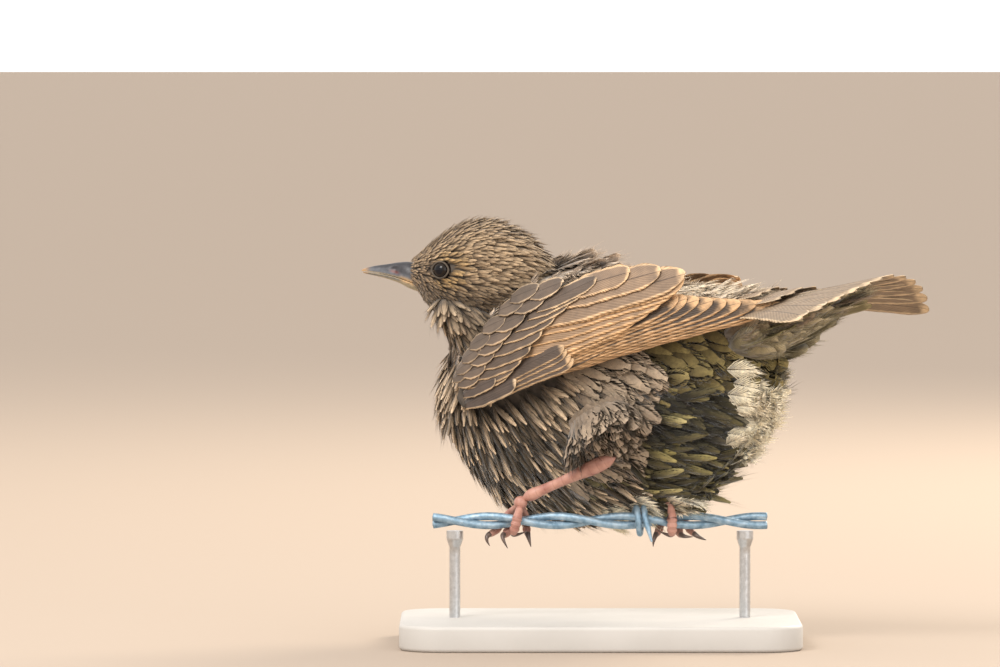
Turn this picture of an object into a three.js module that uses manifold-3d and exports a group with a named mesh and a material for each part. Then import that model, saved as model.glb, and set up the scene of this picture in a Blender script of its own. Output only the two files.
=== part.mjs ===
// A young starling balancing on a short length of barbed wire, held by a plain display stand.
// Millimetres, +Z up, +X along the wire, and the origin is the middle of the stand's underside.
// The bird faces -X and a little towards +Y, with its tail raised and its plumage ruffled by wind.
import * as THREE from "three";
import { mergeVertices } from "three/addons/utils/BufferGeometryUtils.js";
import Module from "manifold-3d";

const wasm = await Module();
wasm.setup();

// Driving dimensions
const gap = 0.3; // between pieces that touch
const wireHeight = 38; // axis of the perch wire above the floor
const strandRadius = 1.25;
const strandTwist = 42; // length of one full turn of the pair
const wireLength = 104;
const barbRadius = 0.95;
const barbX = 15.5;
const base = { length: 124, depth: 86, height: 8, corner: 14, bevel: 1.2 };
const rod = { radius: 1.7, x: 45 };

const bodyYaw = THREE.MathUtils.degToRad(32); // tail swung towards -Y
const bodyAt = { x: 0, y: 18 }; // where the body's middle plane crosses x = 0
const torsoFront = { a: -54, z: 33 }; // front pole of the torso, z above the wire
const torsoRear = { a: 62, z: 66 };

const headYaw = THREE.MathUtils.degToRad(15);
const headFace = new THREE.Vector3(-60.5, 37.2, 76.4); // middle of the face, z above the wire
const headPitch = THREE.MathUtils.degToRad(3);
const eye = { along: 14.6, up: 1.5, radius: 3, forward: THREE.MathUtils.degToRad(14) };
const billLength = 14.6;

const wingLength = 113;
const wingWrist = new THREE.Vector3(-35.3, 25.5, 37.5); // rearward, left, up above the wire
const wingTip = new THREE.Vector3(73, 12, 70.5);
const wingLean = THREE.MathUtils.degToRad(12);
const farWingLean = THREE.MathUtils.degToRad(34);
const wingBulge = 12;
const farWingDrop = [7, 0.5]; // how far the wing on the far side is let down, at its wrist and at its tip

const tailBase = new THREE.Vector3(47, 0, 66.3);
const tailPitch = THREE.MathUtils.degToRad(11);
const tailRoll = THREE.MathUtils.degToRad(5);
const tailYaw = THREE.MathUtils.degToRad(3);
const tailLength = 61;
const tailSpread = THREE.MathUtils.degToRad(36); // half the fan
const tailArch = 0.0085; // how fast the fan falls away to both sides

const colours = {
  plumage: 0x84705a,
  wing: 0x6d5d52,
  tail: 0x7a6a55,
  bill: 0x4d4f57,
  eye: 0x0b0b10,
  skin: 0xb9766a,
  claw: 0x4a4440,
  steel: 0x9fb0bd,
  stand: 0xd8d4cc,
  rod: 0x8f9296,
};

// Frames

// A point of the body's own frame: a rearward, b to the bird's left, z above the wire.
function bodyPoint(a, b, z) {
  const c = Math.cos(bodyYaw);
  const s = Math.sin(bodyYaw);
  return new THREE.Vector3(bodyAt.x + a * c - b * s, bodyAt.y - a * s - b * c, wireHeight + z);
}

// A point of the head's own frame: a rearward from the face, b to the bird's left, up along its crown.
function headPoint(a, b, up) {
  const c = Math.cos(headYaw);
  const s = Math.sin(headYaw);
  const along = a * Math.cos(headPitch) + up * Math.sin(headPitch);
  const rise = up * Math.cos(headPitch) - a * Math.sin(headPitch);
  return new THREE.Vector3(
    headFace.x + along * c - b * s,
    headFace.y - along * s - b * c,
    wireHeight + headFace.z + rise,
  );
}

// Building closed forms

// A Catmull-Rom value through rows of numbers, t running from 0 at the first row to 1 at the last.
function through(rows, t) {
  const x = Math.min(Math.max(t, 0), 1) * (rows.length - 1);
  const i = Math.min(Math.floor(x), rows.length - 2);
  const f = x - i;
  const row = (k) => rows[Math.min(Math.max(k, 0), rows.length - 1)];
  const [p, q, r, s] = [row(i - 1), row(i), row(i + 1), row(i + 2)];
  return q.map((v, k) => {
    const slopeIn = (r[k] - p[k]) / 2;
    const slopeOut = (s[k] - v) / 2;
    const rise = r[k] - v;
    return v + f * (slopeIn + f * (3 * rise - 2 * slopeIn - slopeOut + f * (slopeIn + slopeOut - 2 * rise)));
  });
}

// A geometry as a solid: equal points merged, collapsed faces dropped, faces turned outwards.
function solid(geometry) {
  const bare = new THREE.BufferGeometry();
  bare.setAttribute("position", geometry.getAttribute("position"));
  bare.setIndex(geometry.index);
  const merged = mergeVertices(bare, 1e-4);
  const index = merged.index.array;
  const faces = [];
  for (let i = 0; i < index.length; i += 3) {
    const [a, b, c] = [index[i], index[i + 1], index[i + 2]];
    if (a !== b && b !== c && c !== a) faces.push([a, b, c]);
  }
  const made = (turned) =>
    new wasm.Manifold(
      new wasm.Mesh({
        numProp: 3,
        vertProperties: new Float32Array(merged.attributes.position.array),
        triVerts: new Uint32Array(faces.flatMap(([a, b, c]) => (turned ? [a, c, b] : [a, b, c]))),
      }),
    );
  const first = made(false);
  return first.volume() < 0 ? made(true) : first;
}

// A sphere's grid moulded by place(s, angle): s runs from pole to pole, angle once round.
function moulded(around, along, place) {
  const form = new THREE.SphereGeometry(1, around, along);
  const { position, uv } = form.attributes;
  for (let i = 0; i < position.count; i++) {
    const p = place(1 - uv.getY(i), 2 * Math.PI * (uv.getX(i) % 1));
    position.setXYZ(i, p.x, p.y, p.z);
  }
  return solid(form);
}

// A thin body with two like faces: face(u, v, side) with side 1 above and -1 below, equal on the rim.
function leaf(columns, rows, face) {
  const sides = [1, -1].map((side) => {
    const form = new THREE.PlaneGeometry(1, 1, columns, rows);
    const { position, uv } = form.attributes;
    for (let i = 0; i < position.count; i++) {
      const p = face(uv.getX(i), uv.getY(i), side);
      position.setXYZ(i, p.x, p.y, p.z);
    }
    return form;
  });
  const count = sides[0].attributes.position.count;
  const both = new THREE.BufferGeometry();
  both.setAttribute(
    "position",
    new THREE.BufferAttribute(
      Float32Array.from([...sides[0].attributes.position.array, ...sides[1].attributes.position.array]),
      3,
    ),
  );
  const over = [...sides[0].index.array];
  const under = [];
  for (let i = 0; i < over.length; i += 3) {
    under.push(count + over[i], count + over[i + 2], count + over[i + 1]);
  }
  both.setIndex([...over, ...under]);
  return solid(both);
}

// A round, tapering tube: radius(t) about a three.js curve.
function tube(curve, radius, around, along) {
  const frames = curve.computeFrenetFrames(along, false);
  return moulded(around, along, (s, angle) => {
    const k = Math.round(s * along);
    const r = radius(s);
    return curve
      .getPointAt(s)
      .addScaledVector(frames.normals[k], r * Math.cos(angle))
      .addScaledVector(frames.binormals[k], r * Math.sin(angle));
  });
}

// A vane on a surface place(x, y, h), from root to tip, with a raised shaft and thin edges.
// The lower edge is lifted and the upper one sunk by tilt, so that neighbours overlap like tiles.
function vane(place, v) {
  const along = new THREE.Vector2(v.tip[0] - v.root[0], v.tip[1] - v.root[1]);
  const side = new THREE.Vector2(-along.y, along.x).normalize();
  const rows = v.rows ?? 5;
  return leaf(2, rows, (u, w, face) => {
    const t = 1 - (1 - w) ** 1.7;
    const c = 2 * u - 1;
    const taper = Math.sqrt(Math.max(0, 1 - Math.max(0, (t - v.shoulder) / (1 - v.shoulder)) ** 2));
    const half = (v.width / 2) * Math.min(1, 0.55 + 1.6 * t) * taper;
    const bow = (v.bow ?? 0) * 4 * t * (1 - t);
    const inside = t > 0 && t < 1 ? 1 : 0;
    const h = v.lift + v.rise * t - v.tilt * c + face * inside * (v.thick / 2) * (1 - Math.abs(c));
    return place(
      v.root[0] + along.x * t + side.x * (c * half + bow),
      v.root[1] + along.y * t + side.y * (c * half + bow),
      h,
    );
  });
}

// A tract: count vanes whose roots and tips are spread along two lines, first to last.
function tract(place, t) {
  const made = [];
  for (let i = 0; i < t.count; i++) {
    const f = t.count > 1 ? i / (t.count - 1) : 0;
    const mix = (pair) => pair[0] + (pair[1] - pair[0]) * f;
    made.push(
      vane(place, {
        root: through(t.roots, f),
        tip: through(t.tips, f),
        width: mix(t.width),
        lift: mix(t.lift),
        rise: t.rise ?? 0,
        tilt: t.tilt,
        thick: t.thick ?? 0.9,
        shoulder: t.shoulder ?? 0.6,
        bow: t.bow,
        rows: t.rows,
      }),
    );
  }
  return made;
}

const joined = (pieces) => wasm.Manifold.union(pieces);

function largest(made) {
  return made.simplify(0.03).decompose().sort((p, q) => q.volume() - p.volume())[0];
}

function mesh(name, made, colour, roughness, metalness = 0) {
  const data = largest(made).getMesh();
  const geometry = new THREE.BufferGeometry();
  geometry.setAttribute("position", new THREE.BufferAttribute(new Float32Array(data.vertProperties), 3));
  geometry.setIndex(new THREE.BufferAttribute(new Uint32Array(data.triVerts), 1));
  geometry.computeVertexNormals();
  const material = new THREE.MeshStandardMaterial({ color: colour, roughness, metalness });
  const piece = new THREE.Mesh(geometry, material);
  piece.name = name;
  return piece;
}

// Torso: egg-shaped sections along a line that rises to the rump.
// Each row is distance from the front pole, height above and below the line, half width.
const torsoRows = [
  [0, 0, 0, 0],
  [1.5, 10, 13, 11],
  [6, 18, 26, 17.5],
  [15, 26, 37, 22],
  [28, 33, 44, 25],
  [42, 35, 48.5, 26.5],
  [56, 32, 50.5, 26.5],
  [70, 26, 51, 25.5],
  [84, 19, 48, 22.5],
  [97, 13, 42.5, 18.5],
  [108, 9, 33, 14],
  [115, 6, 23, 10],
  [118.5, 3, 11, 5],
  [119.5, 0, 0, 0],
];

function torsoPoint(t, angle, grow = 0) {
  const [s, up, down, half] = through(torsoRows, t);
  const length = Math.hypot(torsoRear.a - torsoFront.a, torsoRear.z - torsoFront.z);
  const da = (torsoRear.a - torsoFront.a) / length;
  const dz = (torsoRear.z - torsoFront.z) / length;
  const round = Math.min(1, half / 4);
  const narrow = 1 - (Math.sin(angle) > 0 ? 0.2 : -0.14) * Math.sin(angle);
  const b = (half * narrow + grow * round) * Math.cos(angle);
  const h = (Math.sin(angle) > 0 ? up + grow * round : down + grow * round) * Math.sin(angle);
  const along = s + grow * (2 * t - 1);
  return bodyPoint(torsoFront.a + along * da - h * dz, b, torsoFront.z + along * dz + h * da);
}

const torsoForm = (grow) => moulded(26, 22, (s, angle) => torsoPoint(s, angle, grow));

// Head: sections from the bill's base to the nape, each row as for the torso.
const headRows = [
  [0.6, 0, 0, 0],
  [0.8, 3.2, 2.2, 2.6],
  [3.5, 5.8, 5.4, 5.0],
  [7.5, 9.6, 10.2, 7.6],
  [12.5, 13.8, 14.4, 10.2],
  [18, 16.8, 16.6, 12.2],
  [25, 18, 17.4, 13.2],
  [32, 16.6, 16.4, 12.9],
  [38.5, 13.4, 14, 11],
  [43.5, 9, 10, 7.8],
  [46.5, 4.6, 5, 4],
  [47.6, 0, 0, 0],
];

function headSurface(t, angle) {
  const [s, up, down, half] = through(headRows, t);
  const h = (Math.sin(angle) > 0 ? up : down) * Math.sin(angle);
  const cheek = 1 + 0.06 * Math.sin(angle) ** 2;
  return headPoint(s, half * Math.cos(angle) * cheek, h);
}

// Neck: a short thick barrel that leans forward from the shoulders to the head.
const neckRows = [
  [0, 0],
  [0.05, 10],
  [0.25, 18],
  [0.5, 20],
  [0.75, 19],
  [0.95, 11],
  [1, 0],
];

function neckSurface(t, angle) {
  const [f, r] = through(neckRows, t);
  const low = bodyPoint(-30, 0, 40);
  const high = headPoint(26, 0, -4);
  const centre = low.lerp(high, f);
  const forward = new THREE.Vector3(-Math.cos(headYaw), Math.sin(headYaw), 0.35).normalize();
  const left = new THREE.Vector3(-Math.sin(bodyYaw), -Math.cos(bodyYaw), 0);
  centre.addScaledVector(forward, r * Math.sin(angle));
  return centre.addScaledVector(left, 0.92 * r * Math.cos(angle));
}

function eyeCentre(side) {
  const half = through(headRows, 0.41)[3];
  return headPoint(eye.along, side * (half - eye.radius * 0.58), eye.up);
}

function eyeAxis(side) {
  const c = Math.cos(headYaw + side * eye.forward);
  const s = Math.sin(headYaw + side * eye.forward);
  return new THREE.Vector3(-side * s, -side * c, 0.04).normalize();
}

function ball(centre, radius, around = 14, along = 8) {
  return moulded(around, along, (s, angle) =>
    new THREE.Vector3(
      radius * Math.sin(Math.PI * s) * Math.cos(angle),
      radius * Math.sin(Math.PI * s) * Math.sin(angle),
      radius * Math.cos(Math.PI * s),
    ).add(centre),
  );
}

// A lid: a low ring round the opening of the eye, drawn in at its two corners.
function lidRing(side) {
  const axis = eyeAxis(side);
  const across = new THREE.Vector3(0, 0, 1).cross(axis).normalize();
  const up = axis.clone().cross(across);
  const points = [];
  for (let i = 0; i < 14; i++) {
    const turn = (2 * Math.PI * i) / 14;
    const point = eyeCentre(side).addScaledVector(axis, eye.radius * 0.7);
    point.addScaledVector(across, 2.5 * Math.cos(turn)).addScaledVector(up, 2.4 * Math.sin(turn));
    points.push(point);
  }
  const path = new THREE.CatmullRomCurve3(points, true);
  const section = new THREE.Shape().absarc(0, 0, 0.42, 0, 2 * Math.PI);
  return solid(new THREE.ExtrudeGeometry(section, { curveSegments: 3, steps: 14, extrudePath: path }));
}

// The sealed whole of head, neck and torso, before it is parted.
const flesh = joined([torsoForm(0), moulded(18, 12, neckSurface), moulded(20, 17, headSurface)]);

// Two slanting cuts part it: below the cheeks, and where the neck meets the shoulders.
const headCut = { normal: new THREE.Vector3(-0.34, 0.1, 0.93).normalize(), at: bodyPoint(-30, 0, 74) };
const neckCut = { normal: new THREE.Vector3(-0.6, 0.2, 0.77).normalize(), at: bodyPoint(-30, 0, 68) };

const above = (form, cut) =>
  form.trimByPlane(cut.normal.toArray(), cut.normal.dot(cut.at) + gap / 2);
const below = (form, cut) =>
  form.trimByPlane(cut.normal.clone().negate().toArray(), -cut.normal.dot(cut.at) + gap / 2);

// Bill: upper and lower halves that meet along the line of the mouth.
// Rows run from the tip back into the face: distance, ridge height, drop, half width.
const upperBillRows = [
  [-billLength, 0, 0],
  [-billLength + 0.7, 0.75, 0.55],
  [-billLength * 0.72, 1.9, 1.15],
  [-billLength * 0.42, 3.2, 1.75],
  [-billLength * 0.15, 4.7, 2.4],
  [1.5, 5.8, 3.1],
  [4.5, 5.2, 2.8],
  [5, 0, 0],
];
const lowerBillRows = [
  [-billLength + 0.5, 0, 0],
  [-billLength + 1.2, 0.45, 0.45],
  [-billLength * 0.7, 0.85, 1.0],
  [-billLength * 0.4, 1.2, 1.6],
  [-billLength * 0.12, 1.6, 2.3],
  [1.5, 2.2, 2.9],
  [4.5, 2.0, 2.6],
  [5, 0, 0],
];

// The mouth line's height at a distance from the face: it sinks to the gape.
const mouthLine = (x) => -1.25 - 0.115 * (x + billLength / 2) - 0.0092 * (x + billLength / 2) ** 2;

function billHalf(rows, side, around, along) {
  return moulded(around, along, (t, angle) => {
    const [x, high, half] = through(rows, t);
    const up = Math.max(0, Math.sin(angle)) ** 0.9 * high;
    const flat = Math.sin(angle) > 0 ? 1 : 0.96;
    return headPoint(x, half * Math.cos(angle) * flat, mouthLine(x) + side * (up + gap / 2));
  });
}

function nostril(side) {
  return moulded(8, 6, (s, angle) => {
    const r = Math.sin(Math.PI * s);
    const x = -3.1 + 1.7 * Math.cos(Math.PI * s);
    return headPoint(x, side * (2.2 + 0.8 * r * Math.cos(angle)), 1.1 - 0.1 * x + 0.5 * r * Math.sin(angle));
  });
}

const upperBill = billHalf(upperBillRows, 1, 12, 14)
  .subtract(nostril(1))
  .subtract(nostril(-1));
const lowerBill = billHalf(lowerBillRows, -1, 12, 12);

// A socket a little larger than the bill, so that the face takes its root with a gap.
const billSocket = moulded(14, 10, (s, angle) => {
  const r = Math.sqrt(Math.max(0, Math.sin(Math.PI * s)));
  const x = 0.5 - 6.5 * Math.cos(Math.PI * s);
  return headPoint(x, 3.8 * r * Math.cos(angle), -1.5 + 5.9 * r * Math.sin(angle));
});

function headForm() {
  const sockets = [1, -1].map((side) => ball(eyeCentre(side), eye.radius + gap, 12, 6));
  const lids = [1, -1].map(lidRing);
  return joined([above(flesh, headCut), ...lids]).subtract(joined([...sockets, billSocket]));
}

// Wing: a plane from the wrist to the tip, bent round the body; x along it, y up across it.
function wingFrame(lean) {
  const d = wingTip.clone().sub(wingWrist).normalize();
  const p = new THREE.Vector3(0, -Math.sin(lean), Math.cos(lean));
  p.addScaledVector(d, -p.dot(d)).normalize();
  return { d, p, n: d.clone().cross(p).negate() };
}

function wingPlace(side) {
  const frame = wingFrame(side > 0 ? wingLean : farWingLean);
  return (x, y, h) => {
    const u = Math.min(Math.max(x / wingLength, 0), 1.05);
    const bent = wingBulge * 4 * u * (1 - u) * (1 - 0.25 * u) - 0.0125 * (y - 2) ** 2;
    const p = wingWrist
      .clone()
      .addScaledVector(frame.d, x)
      .addScaledVector(frame.p, y)
      .addScaledVector(frame.n, bent + h);
    const drop = side > 0 ? 0 : farWingDrop[0] + (farWingDrop[1] - farWingDrop[0]) * u;
    return bodyPoint(p.x, side * p.y, p.z - drop);
  };
}

// Feather tracts of the closed wing, in its own plane, from the lowest layer to the highest.
const wingTracts = [
  {
    name: "primaries",
    count: 9,
    roots: [[16, -2.2], [15, -1], [13, 0.5]],
    tips: [[112.6, -1.6], [97, 2.6], [83, 7.4]],
    width: [7, 9.5],
    lift: [-1.9, -0.1],
    tilt: 0.4,
    shoulder: 0.8,
  },
  {
    name: "primary_coverts",
    count: 4,
    roots: [[8, -3.6], [9, -1.5]],
    tips: [[46, -3], [44, 2]],
    width: [5.5, 5.5],
    lift: [1.0, 1.5],
    tilt: 0.4,
    shoulder: 0.85,
    rows: 4,
  },
  {
    name: "secondaries",
    count: 6,
    roots: [[22, 1], [36, 12]],
    tips: [[66.5, 4.6], [77, 8], [86, 12.2]],
    width: [8.5, 9.5],
    lift: [0.6, 1.7],
    tilt: 0.5,
    shoulder: 0.85,
    rows: 4,
  },
  {
    name: "tertials",
    count: 3,
    roots: [[36, 12.5], [42, 17], [46, 19.5]],
    tips: [[86.6, 14], [79, 17], [69, 19.4]],
    width: [11, 9],
    lift: [2.3, 3.3],
    tilt: 0.5,
    shoulder: 0.75,
  },
  {
    name: "alula",
    count: 2,
    roots: [[2.5, -3.4], [3, -0.5]],
    tips: [[24.6, -3.4], [17.5, -0.4]],
    width: [6.8, 5],
    lift: [2.1, 2.7],
    tilt: 0.5,
    shoulder: 0.75,
    rows: 4,
  },
  {
    name: "greater_coverts",
    count: 9,
    roots: [[4, 0.5], [10, 5], [24, 11.5], [36, 17]],
    tips: [[23, 0.2], [31.3, 4.2], [44.8, 13.8], [58, 20.5]],
    width: [5.4, 7],
    lift: [2.2, 3.6],
    tilt: 0.6,
    shoulder: 0.7,
    rows: 4,
  },
  {
    name: "median_coverts",
    count: 8,
    roots: [[2, 3.5], [10, 9.5], [18, 15], [34, 22.5]],
    tips: [[11.6, 2.9], [20.4, 8.6], [30, 15], [46, 23]],
    width: [5.6, 7.6],
    lift: [2.9, 4.2],
    tilt: 0.6,
    shoulder: 0.5,
    rows: 4,
  },
  {
    name: "lesser_coverts",
    count: 7,
    roots: [[0, 5.5], [9, 13.5], [26, 24]],
    tips: [[8.5, 7], [18, 14], [37, 24.2]],
    width: [5.4, 7],
    lift: [3.0, 4.4],
    tilt: 0.5,
    shoulder: 0.45,
    rows: 4,
  },
];

// The wing's fleshy part, a flat lens under its coverts. Rows are x, lower edge, upper edge.
const wingCoreRows = [
  [-1.5, -2.5, 1.5],
  [7, -5.6, 10],
  [16, -6.2, 18],
  [28, -6, 24.5],
  [40, -5.4, 25.5],
  [54, -3.6, 21.5],
  [66, 0, 18.5],
  [72, 6, 15],
];

function wingCore(place) {
  return leaf(5, 9, (u, v, face) => {
    const [x, low, high] = through(wingCoreRows, v);
    const rim = u > 0 && u < 1 && v > 0 && v < 1 ? 1 : 0;
    const full = rim * Math.sqrt(Math.sin(Math.PI * u)) * Math.min(1, 3 * Math.sin(Math.PI * v));
    const h = face > 0 ? -0.6 + 2.6 * full : -0.6 - 4.5 * full;
    return place(x, low + (high - low) * u, h);
  });
}

function wingForm(side) {
  const place = wingPlace(side);
  const pieces = [wingCore(place), ...wingTracts.flatMap((t) => tract(place, t))];
  const whole = joined(pieces).subtract(torsoForm(gap));
  return side > 0 ? whole : whole.subtract(tailRoom());
}

// The wing's long feathers a little thicker and wider, as the room the tail leaves for them.
function wingRoom(side) {
  const long = wingTracts.filter((t) => ["primaries", "secondaries", "tertials"].includes(t.name));
  const grown = long.map((t) => ({ ...t, width: t.width.map((w) => w + 1.2), thick: 2.4 }));
  return joined(grown.flatMap((t) => tract(wingPlace(side), t)));
}

// Tail: x along it, y to the bird's left, h above it; it arches down to both sides.
function tailPlace(x, y, h) {
  const cy = x * Math.cos(tailYaw) - y * Math.sin(tailYaw);
  const sy = x * Math.sin(tailYaw) + y * Math.cos(tailYaw);
  const arched = h - tailArch * y * y - sy * Math.sin(tailRoll);
  return bodyPoint(
    tailBase.x + cy * Math.cos(tailPitch) - arched * Math.sin(tailPitch),
    tailBase.y + sy,
    tailBase.z + cy * Math.sin(tailPitch) + arched * Math.cos(tailPitch),
  );
}

// A fan of vanes from the tail's base: each one's place in the fan runs from -1 to 1.
function fan(f) {
  const { count, from, to, spread, width, lift, step, thick = 0.9, shoulder = 0.8, rise = 0, rows = 5 } = f;
  const made = [];
  for (let i = 0; i < count; i++) {
    const at = count > 1 ? (2 * i) / (count - 1) - 1 : 0;
    const turn = at * spread;
    const reach = to - 2.2 * (1 - Math.abs(at)) ** 2;
    made.push(
      vane(tailPlace, {
        root: [from * Math.cos(turn), from * Math.sin(turn)],
        tip: [reach * Math.cos(turn), reach * Math.sin(turn)],
        width,
        lift: lift - step * Math.abs(at) * (count / 2),
        rise,
        tilt: 0.35 * Math.sign(at),
        thick,
        shoulder,
        rows,
      }),
    );
  }
  return made;
}

const tailFan = { count: 12, from: 3, to: tailLength, spread: tailSpread, width: 10.5, lift: 0, step: 0.34 };
const tailCoverts = [
  { count: 5, from: 2, to: 30, spread: 0.42, width: 10, lift: 1.6, step: 0.3, shoulder: 0.6, rows: 4 },
  { count: 4, from: -4, to: 19, spread: 0.4, width: 10, lift: 3.4, step: 0.3, shoulder: 0.5, rows: 4 },
];
const ventCoverts = [
  { count: 5, from: 8, to: 42, spread: 0.3, width: 11, lift: -7.5, step: 0.5, shoulder: 0.6 },
  { count: 4, from: 2, to: 30, spread: 0.36, width: 12, lift: -12, step: 0.5, shoulder: 0.6 },
].map((f) => ({ ...f, rise: 4.5, rows: 4 }));

// The tail's upper feathers a little thicker and wider, as the room the far wing leaves for them.
function tailRoom() {
  const grown = [tailFan, ...tailCoverts].map((f) => ({ ...f, width: f.width + 1.2, thick: 2.6 }));
  return joined([vent, ...grown.flatMap(fan)]);
}

// The fleshy root of the tail and the vent's plumage, tapering out under the fan.
const ventRows = [
  [40, 57, 0, 0, 0],
  [41, 57, 8, 10, 9],
  [50, 58, 8, 13, 13],
  [60, 60.5, 6.5, 12, 13.5],
  [70, 63.5, 4.2, 9, 12.5],
  [80, 67, 2.4, 5.5, 10],
  [88, 69.2, 1.2, 2.6, 7],
  [91, 70, 0, 0, 0],
];

const vent = moulded(14, 12, (t, angle) => {
  const [a, z, up, down, half] = through(ventRows, t);
  const h = (Math.sin(angle) > 0 ? up : down) * Math.sin(angle);
  return bodyPoint(a, half * Math.cos(angle), z + h);
});

function tailForm() {
  const feathers = [tailFan, ...tailCoverts, ...ventCoverts].flatMap(fan);
  return joined([vent, ...feathers]).subtract(joined([torsoForm(gap), wingRoom(1)]));
}

// Mantle: loose feathers of the back, blown up and apart over the roots of the wings.
const mantle = { rows: 3, across: 5, length: 20, width: 11 };

function mantleVanes() {
  const made = [];
  for (let i = 0; i < mantle.rows; i++) {
    for (let j = 0; j < mantle.across; j++) {
      const side = (j - (mantle.across - 1) / 2) / ((mantle.across - 1) / 2);
      const start = -20 + 11 * i + 1.5 * (j % 2);
      const place = (x, y, h) => {
        const t = x / mantle.length;
        const lean = side * (0.55 + 0.1 * i);
        return bodyPoint(
          start + x * 0.93,
          side * 7 + y * Math.cos(lean) + (h + 3.6 * t) * Math.sin(lean),
          80.5 - 2.6 * i - x * 0.04 - 4.2 * side * side - y * Math.sin(lean) + (h + 3.6 * t) * Math.cos(lean),
        );
      };
      made.push(
        vane(place, {
          root: [-3, 0],
          tip: [mantle.length - 2 * Math.abs(side), 0],
          width: mantle.width,
          lift: -1.2,
          rise: 1.5,
          tilt: 0.3 * side,
          thick: 0.9,
          shoulder: 0.55,
          rows: 4,
        }),
      );
    }
  }
  return made;
}

// Legs. Points are in the row frame; each foot stands on the wire.
const wire = (x, y, z) => new THREE.Vector3(x, y, wireHeight + z);
const legs = {
  left: { hip: bodyPoint(10, 21, 38), heel: wire(5.2, -13, 20.6), foot: wire(-24.6, -1.2, 6.6) },
  right: { hip: bodyPoint(14, -15, 33), heel: wire(39, 22, 16.5), foot: wire(21.8, 1.6, 6.8) },
};

// A feathered thigh, widest at the body and drawn in to a cuff above the heel.
const thighRows = [
  [0, 0],
  [0.03, 9],
  [0.25, 12.5],
  [0.5, 11],
  [0.75, 7.4],
  [0.93, 4.2],
  [0.99, 2.9],
  [1, 0],
];

function thighForm(leg) {
  const along = leg.heel.clone().sub(leg.hip);
  const end = leg.heel.clone().addScaledVector(along.clone().normalize(), -1.6);
  const curve = new THREE.LineCurve3(leg.hip, end);
  return tube(curve, (s) => through(thighRows, s)[1], 13, 9);
}

// A bare shank from heel to foot, a little wider at both joints.
const shankRows = [
  [0, 0],
  [0.03, 1.7],
  [0.1, 2.15],
  [0.24, 1.65],
  [0.55, 1.45],
  [0.85, 1.5],
  [0.96, 1.75],
  [1, 0],
];

function shankForm(leg) {
  const curve = new THREE.LineCurve3(leg.heel, leg.foot);
  return tube(curve, (s) => through(shankRows, s)[1], 10, 14);
}

// Toes wind round the wire: turn is the angle from its top, towards +Y when positive.
const toeRing = 2 * strandRadius + gap + 1.6;

function wound(x, turn, ring = toeRing) {
  return wire(x, ring * Math.sin(turn), ring * Math.cos(turn));
}

function toePath(foot, toe) {
  const points = [foot.clone().add(new THREE.Vector3(0, 0, -1.2))];
  for (let i = 1; i <= 6; i++) {
    const f = i / 6;
    points.push(wound(toe.x[0] + (toe.x[1] - toe.x[0]) * f, toe.turn[0] + (toe.turn[1] - toe.turn[0]) * f));
  }
  return new THREE.CatmullRomCurve3(points, false, "centripetal");
}

const toes = {
  left: [
    { name: "outer", x: [-26, -34.5], turn: [0.5, 3.0], radius: 1.3, claw: [0.6, -0.8, -3.4] },
    { name: "middle", x: [-25.5, -30], turn: [0.6, 3.3], radius: 1.35, claw: [1.6, -1.6, -4.2] },
    { name: "inner", x: [-23.6, -22.4], turn: [0.7, 2.9], radius: 1.25, claw: [1.0, -0.8, -3.8] },
    { name: "hind", x: [-25.2, -27], turn: [-0.9, -2.6], radius: 1.5, claw: [4.6, -1.5, 1.0] },
  ],
  right: [
    { name: "outer", x: [21, 17.4], turn: [0.5, 3.0], radius: 1.25, claw: [-0.8, -1.6, -3.6] },
    { name: "middle", x: [22.6, 25.2], turn: [0.6, 3.15], radius: 1.35, claw: [3.6, -1.8, -0.4] },
    { name: "inner", x: [24, 29.5], turn: [0.7, 2.9], radius: 1.25, claw: [3.4, -0.8, -1.6] },
    { name: "hind", x: [22.3, 22.3], turn: [-0.9, -2.75], radius: 1.5, claw: [-4.4, -0.5, 1.4] },
  ],
};

function footForm(side) {
  const leg = legs[side];
  const pieces = toes[side].map((toe) =>
    tube(
      toePath(leg.foot, toe),
      (s) => toe.radius * Math.min(1, Math.sqrt(Math.max(0, 6 * s))) * Math.sqrt(Math.max(0, 1 - s ** 9)),
      6,
      9,
    ),
  );
  const ankle = ball(leg.foot.clone().add(new THREE.Vector3(0, 0, -0.9)), 2.0, 10, 6);
  const along = leg.heel.clone().sub(leg.foot).normalize();
  const cut = along.dot(leg.foot) + 0.9;
  return joined([ankle, ...pieces]).trimByPlane(along.clone().negate().toArray(), -cut);
}

function shankCut(side) {
  const leg = legs[side];
  const along = leg.heel.clone().sub(leg.foot).normalize();
  return shankForm(leg).trimByPlane(along.toArray(), along.dot(leg.foot) + 0.9 + gap);
}

// A claw: a curved, pointed horn that goes on from the toe's end.
function clawForm(side, toe) {
  const path = toePath(legs[side].foot, toe);
  const end = path.getPointAt(1);
  const along = path.getTangentAt(1);
  const start = end.clone().addScaledVector(along, gap + 0.05);
  const tip = start.clone().add(new THREE.Vector3(...toe.claw));
  const bend = start.clone().addScaledVector(along, 2.6);
  const curve = new THREE.QuadraticBezierCurve3(start, bend, tip);
  return tube(curve, (s) => (s > 0 ? 0.85 * (1 - s) ** 0.75 + 0.02 * (1 - s) : 0), 6, 7);
}

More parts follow.
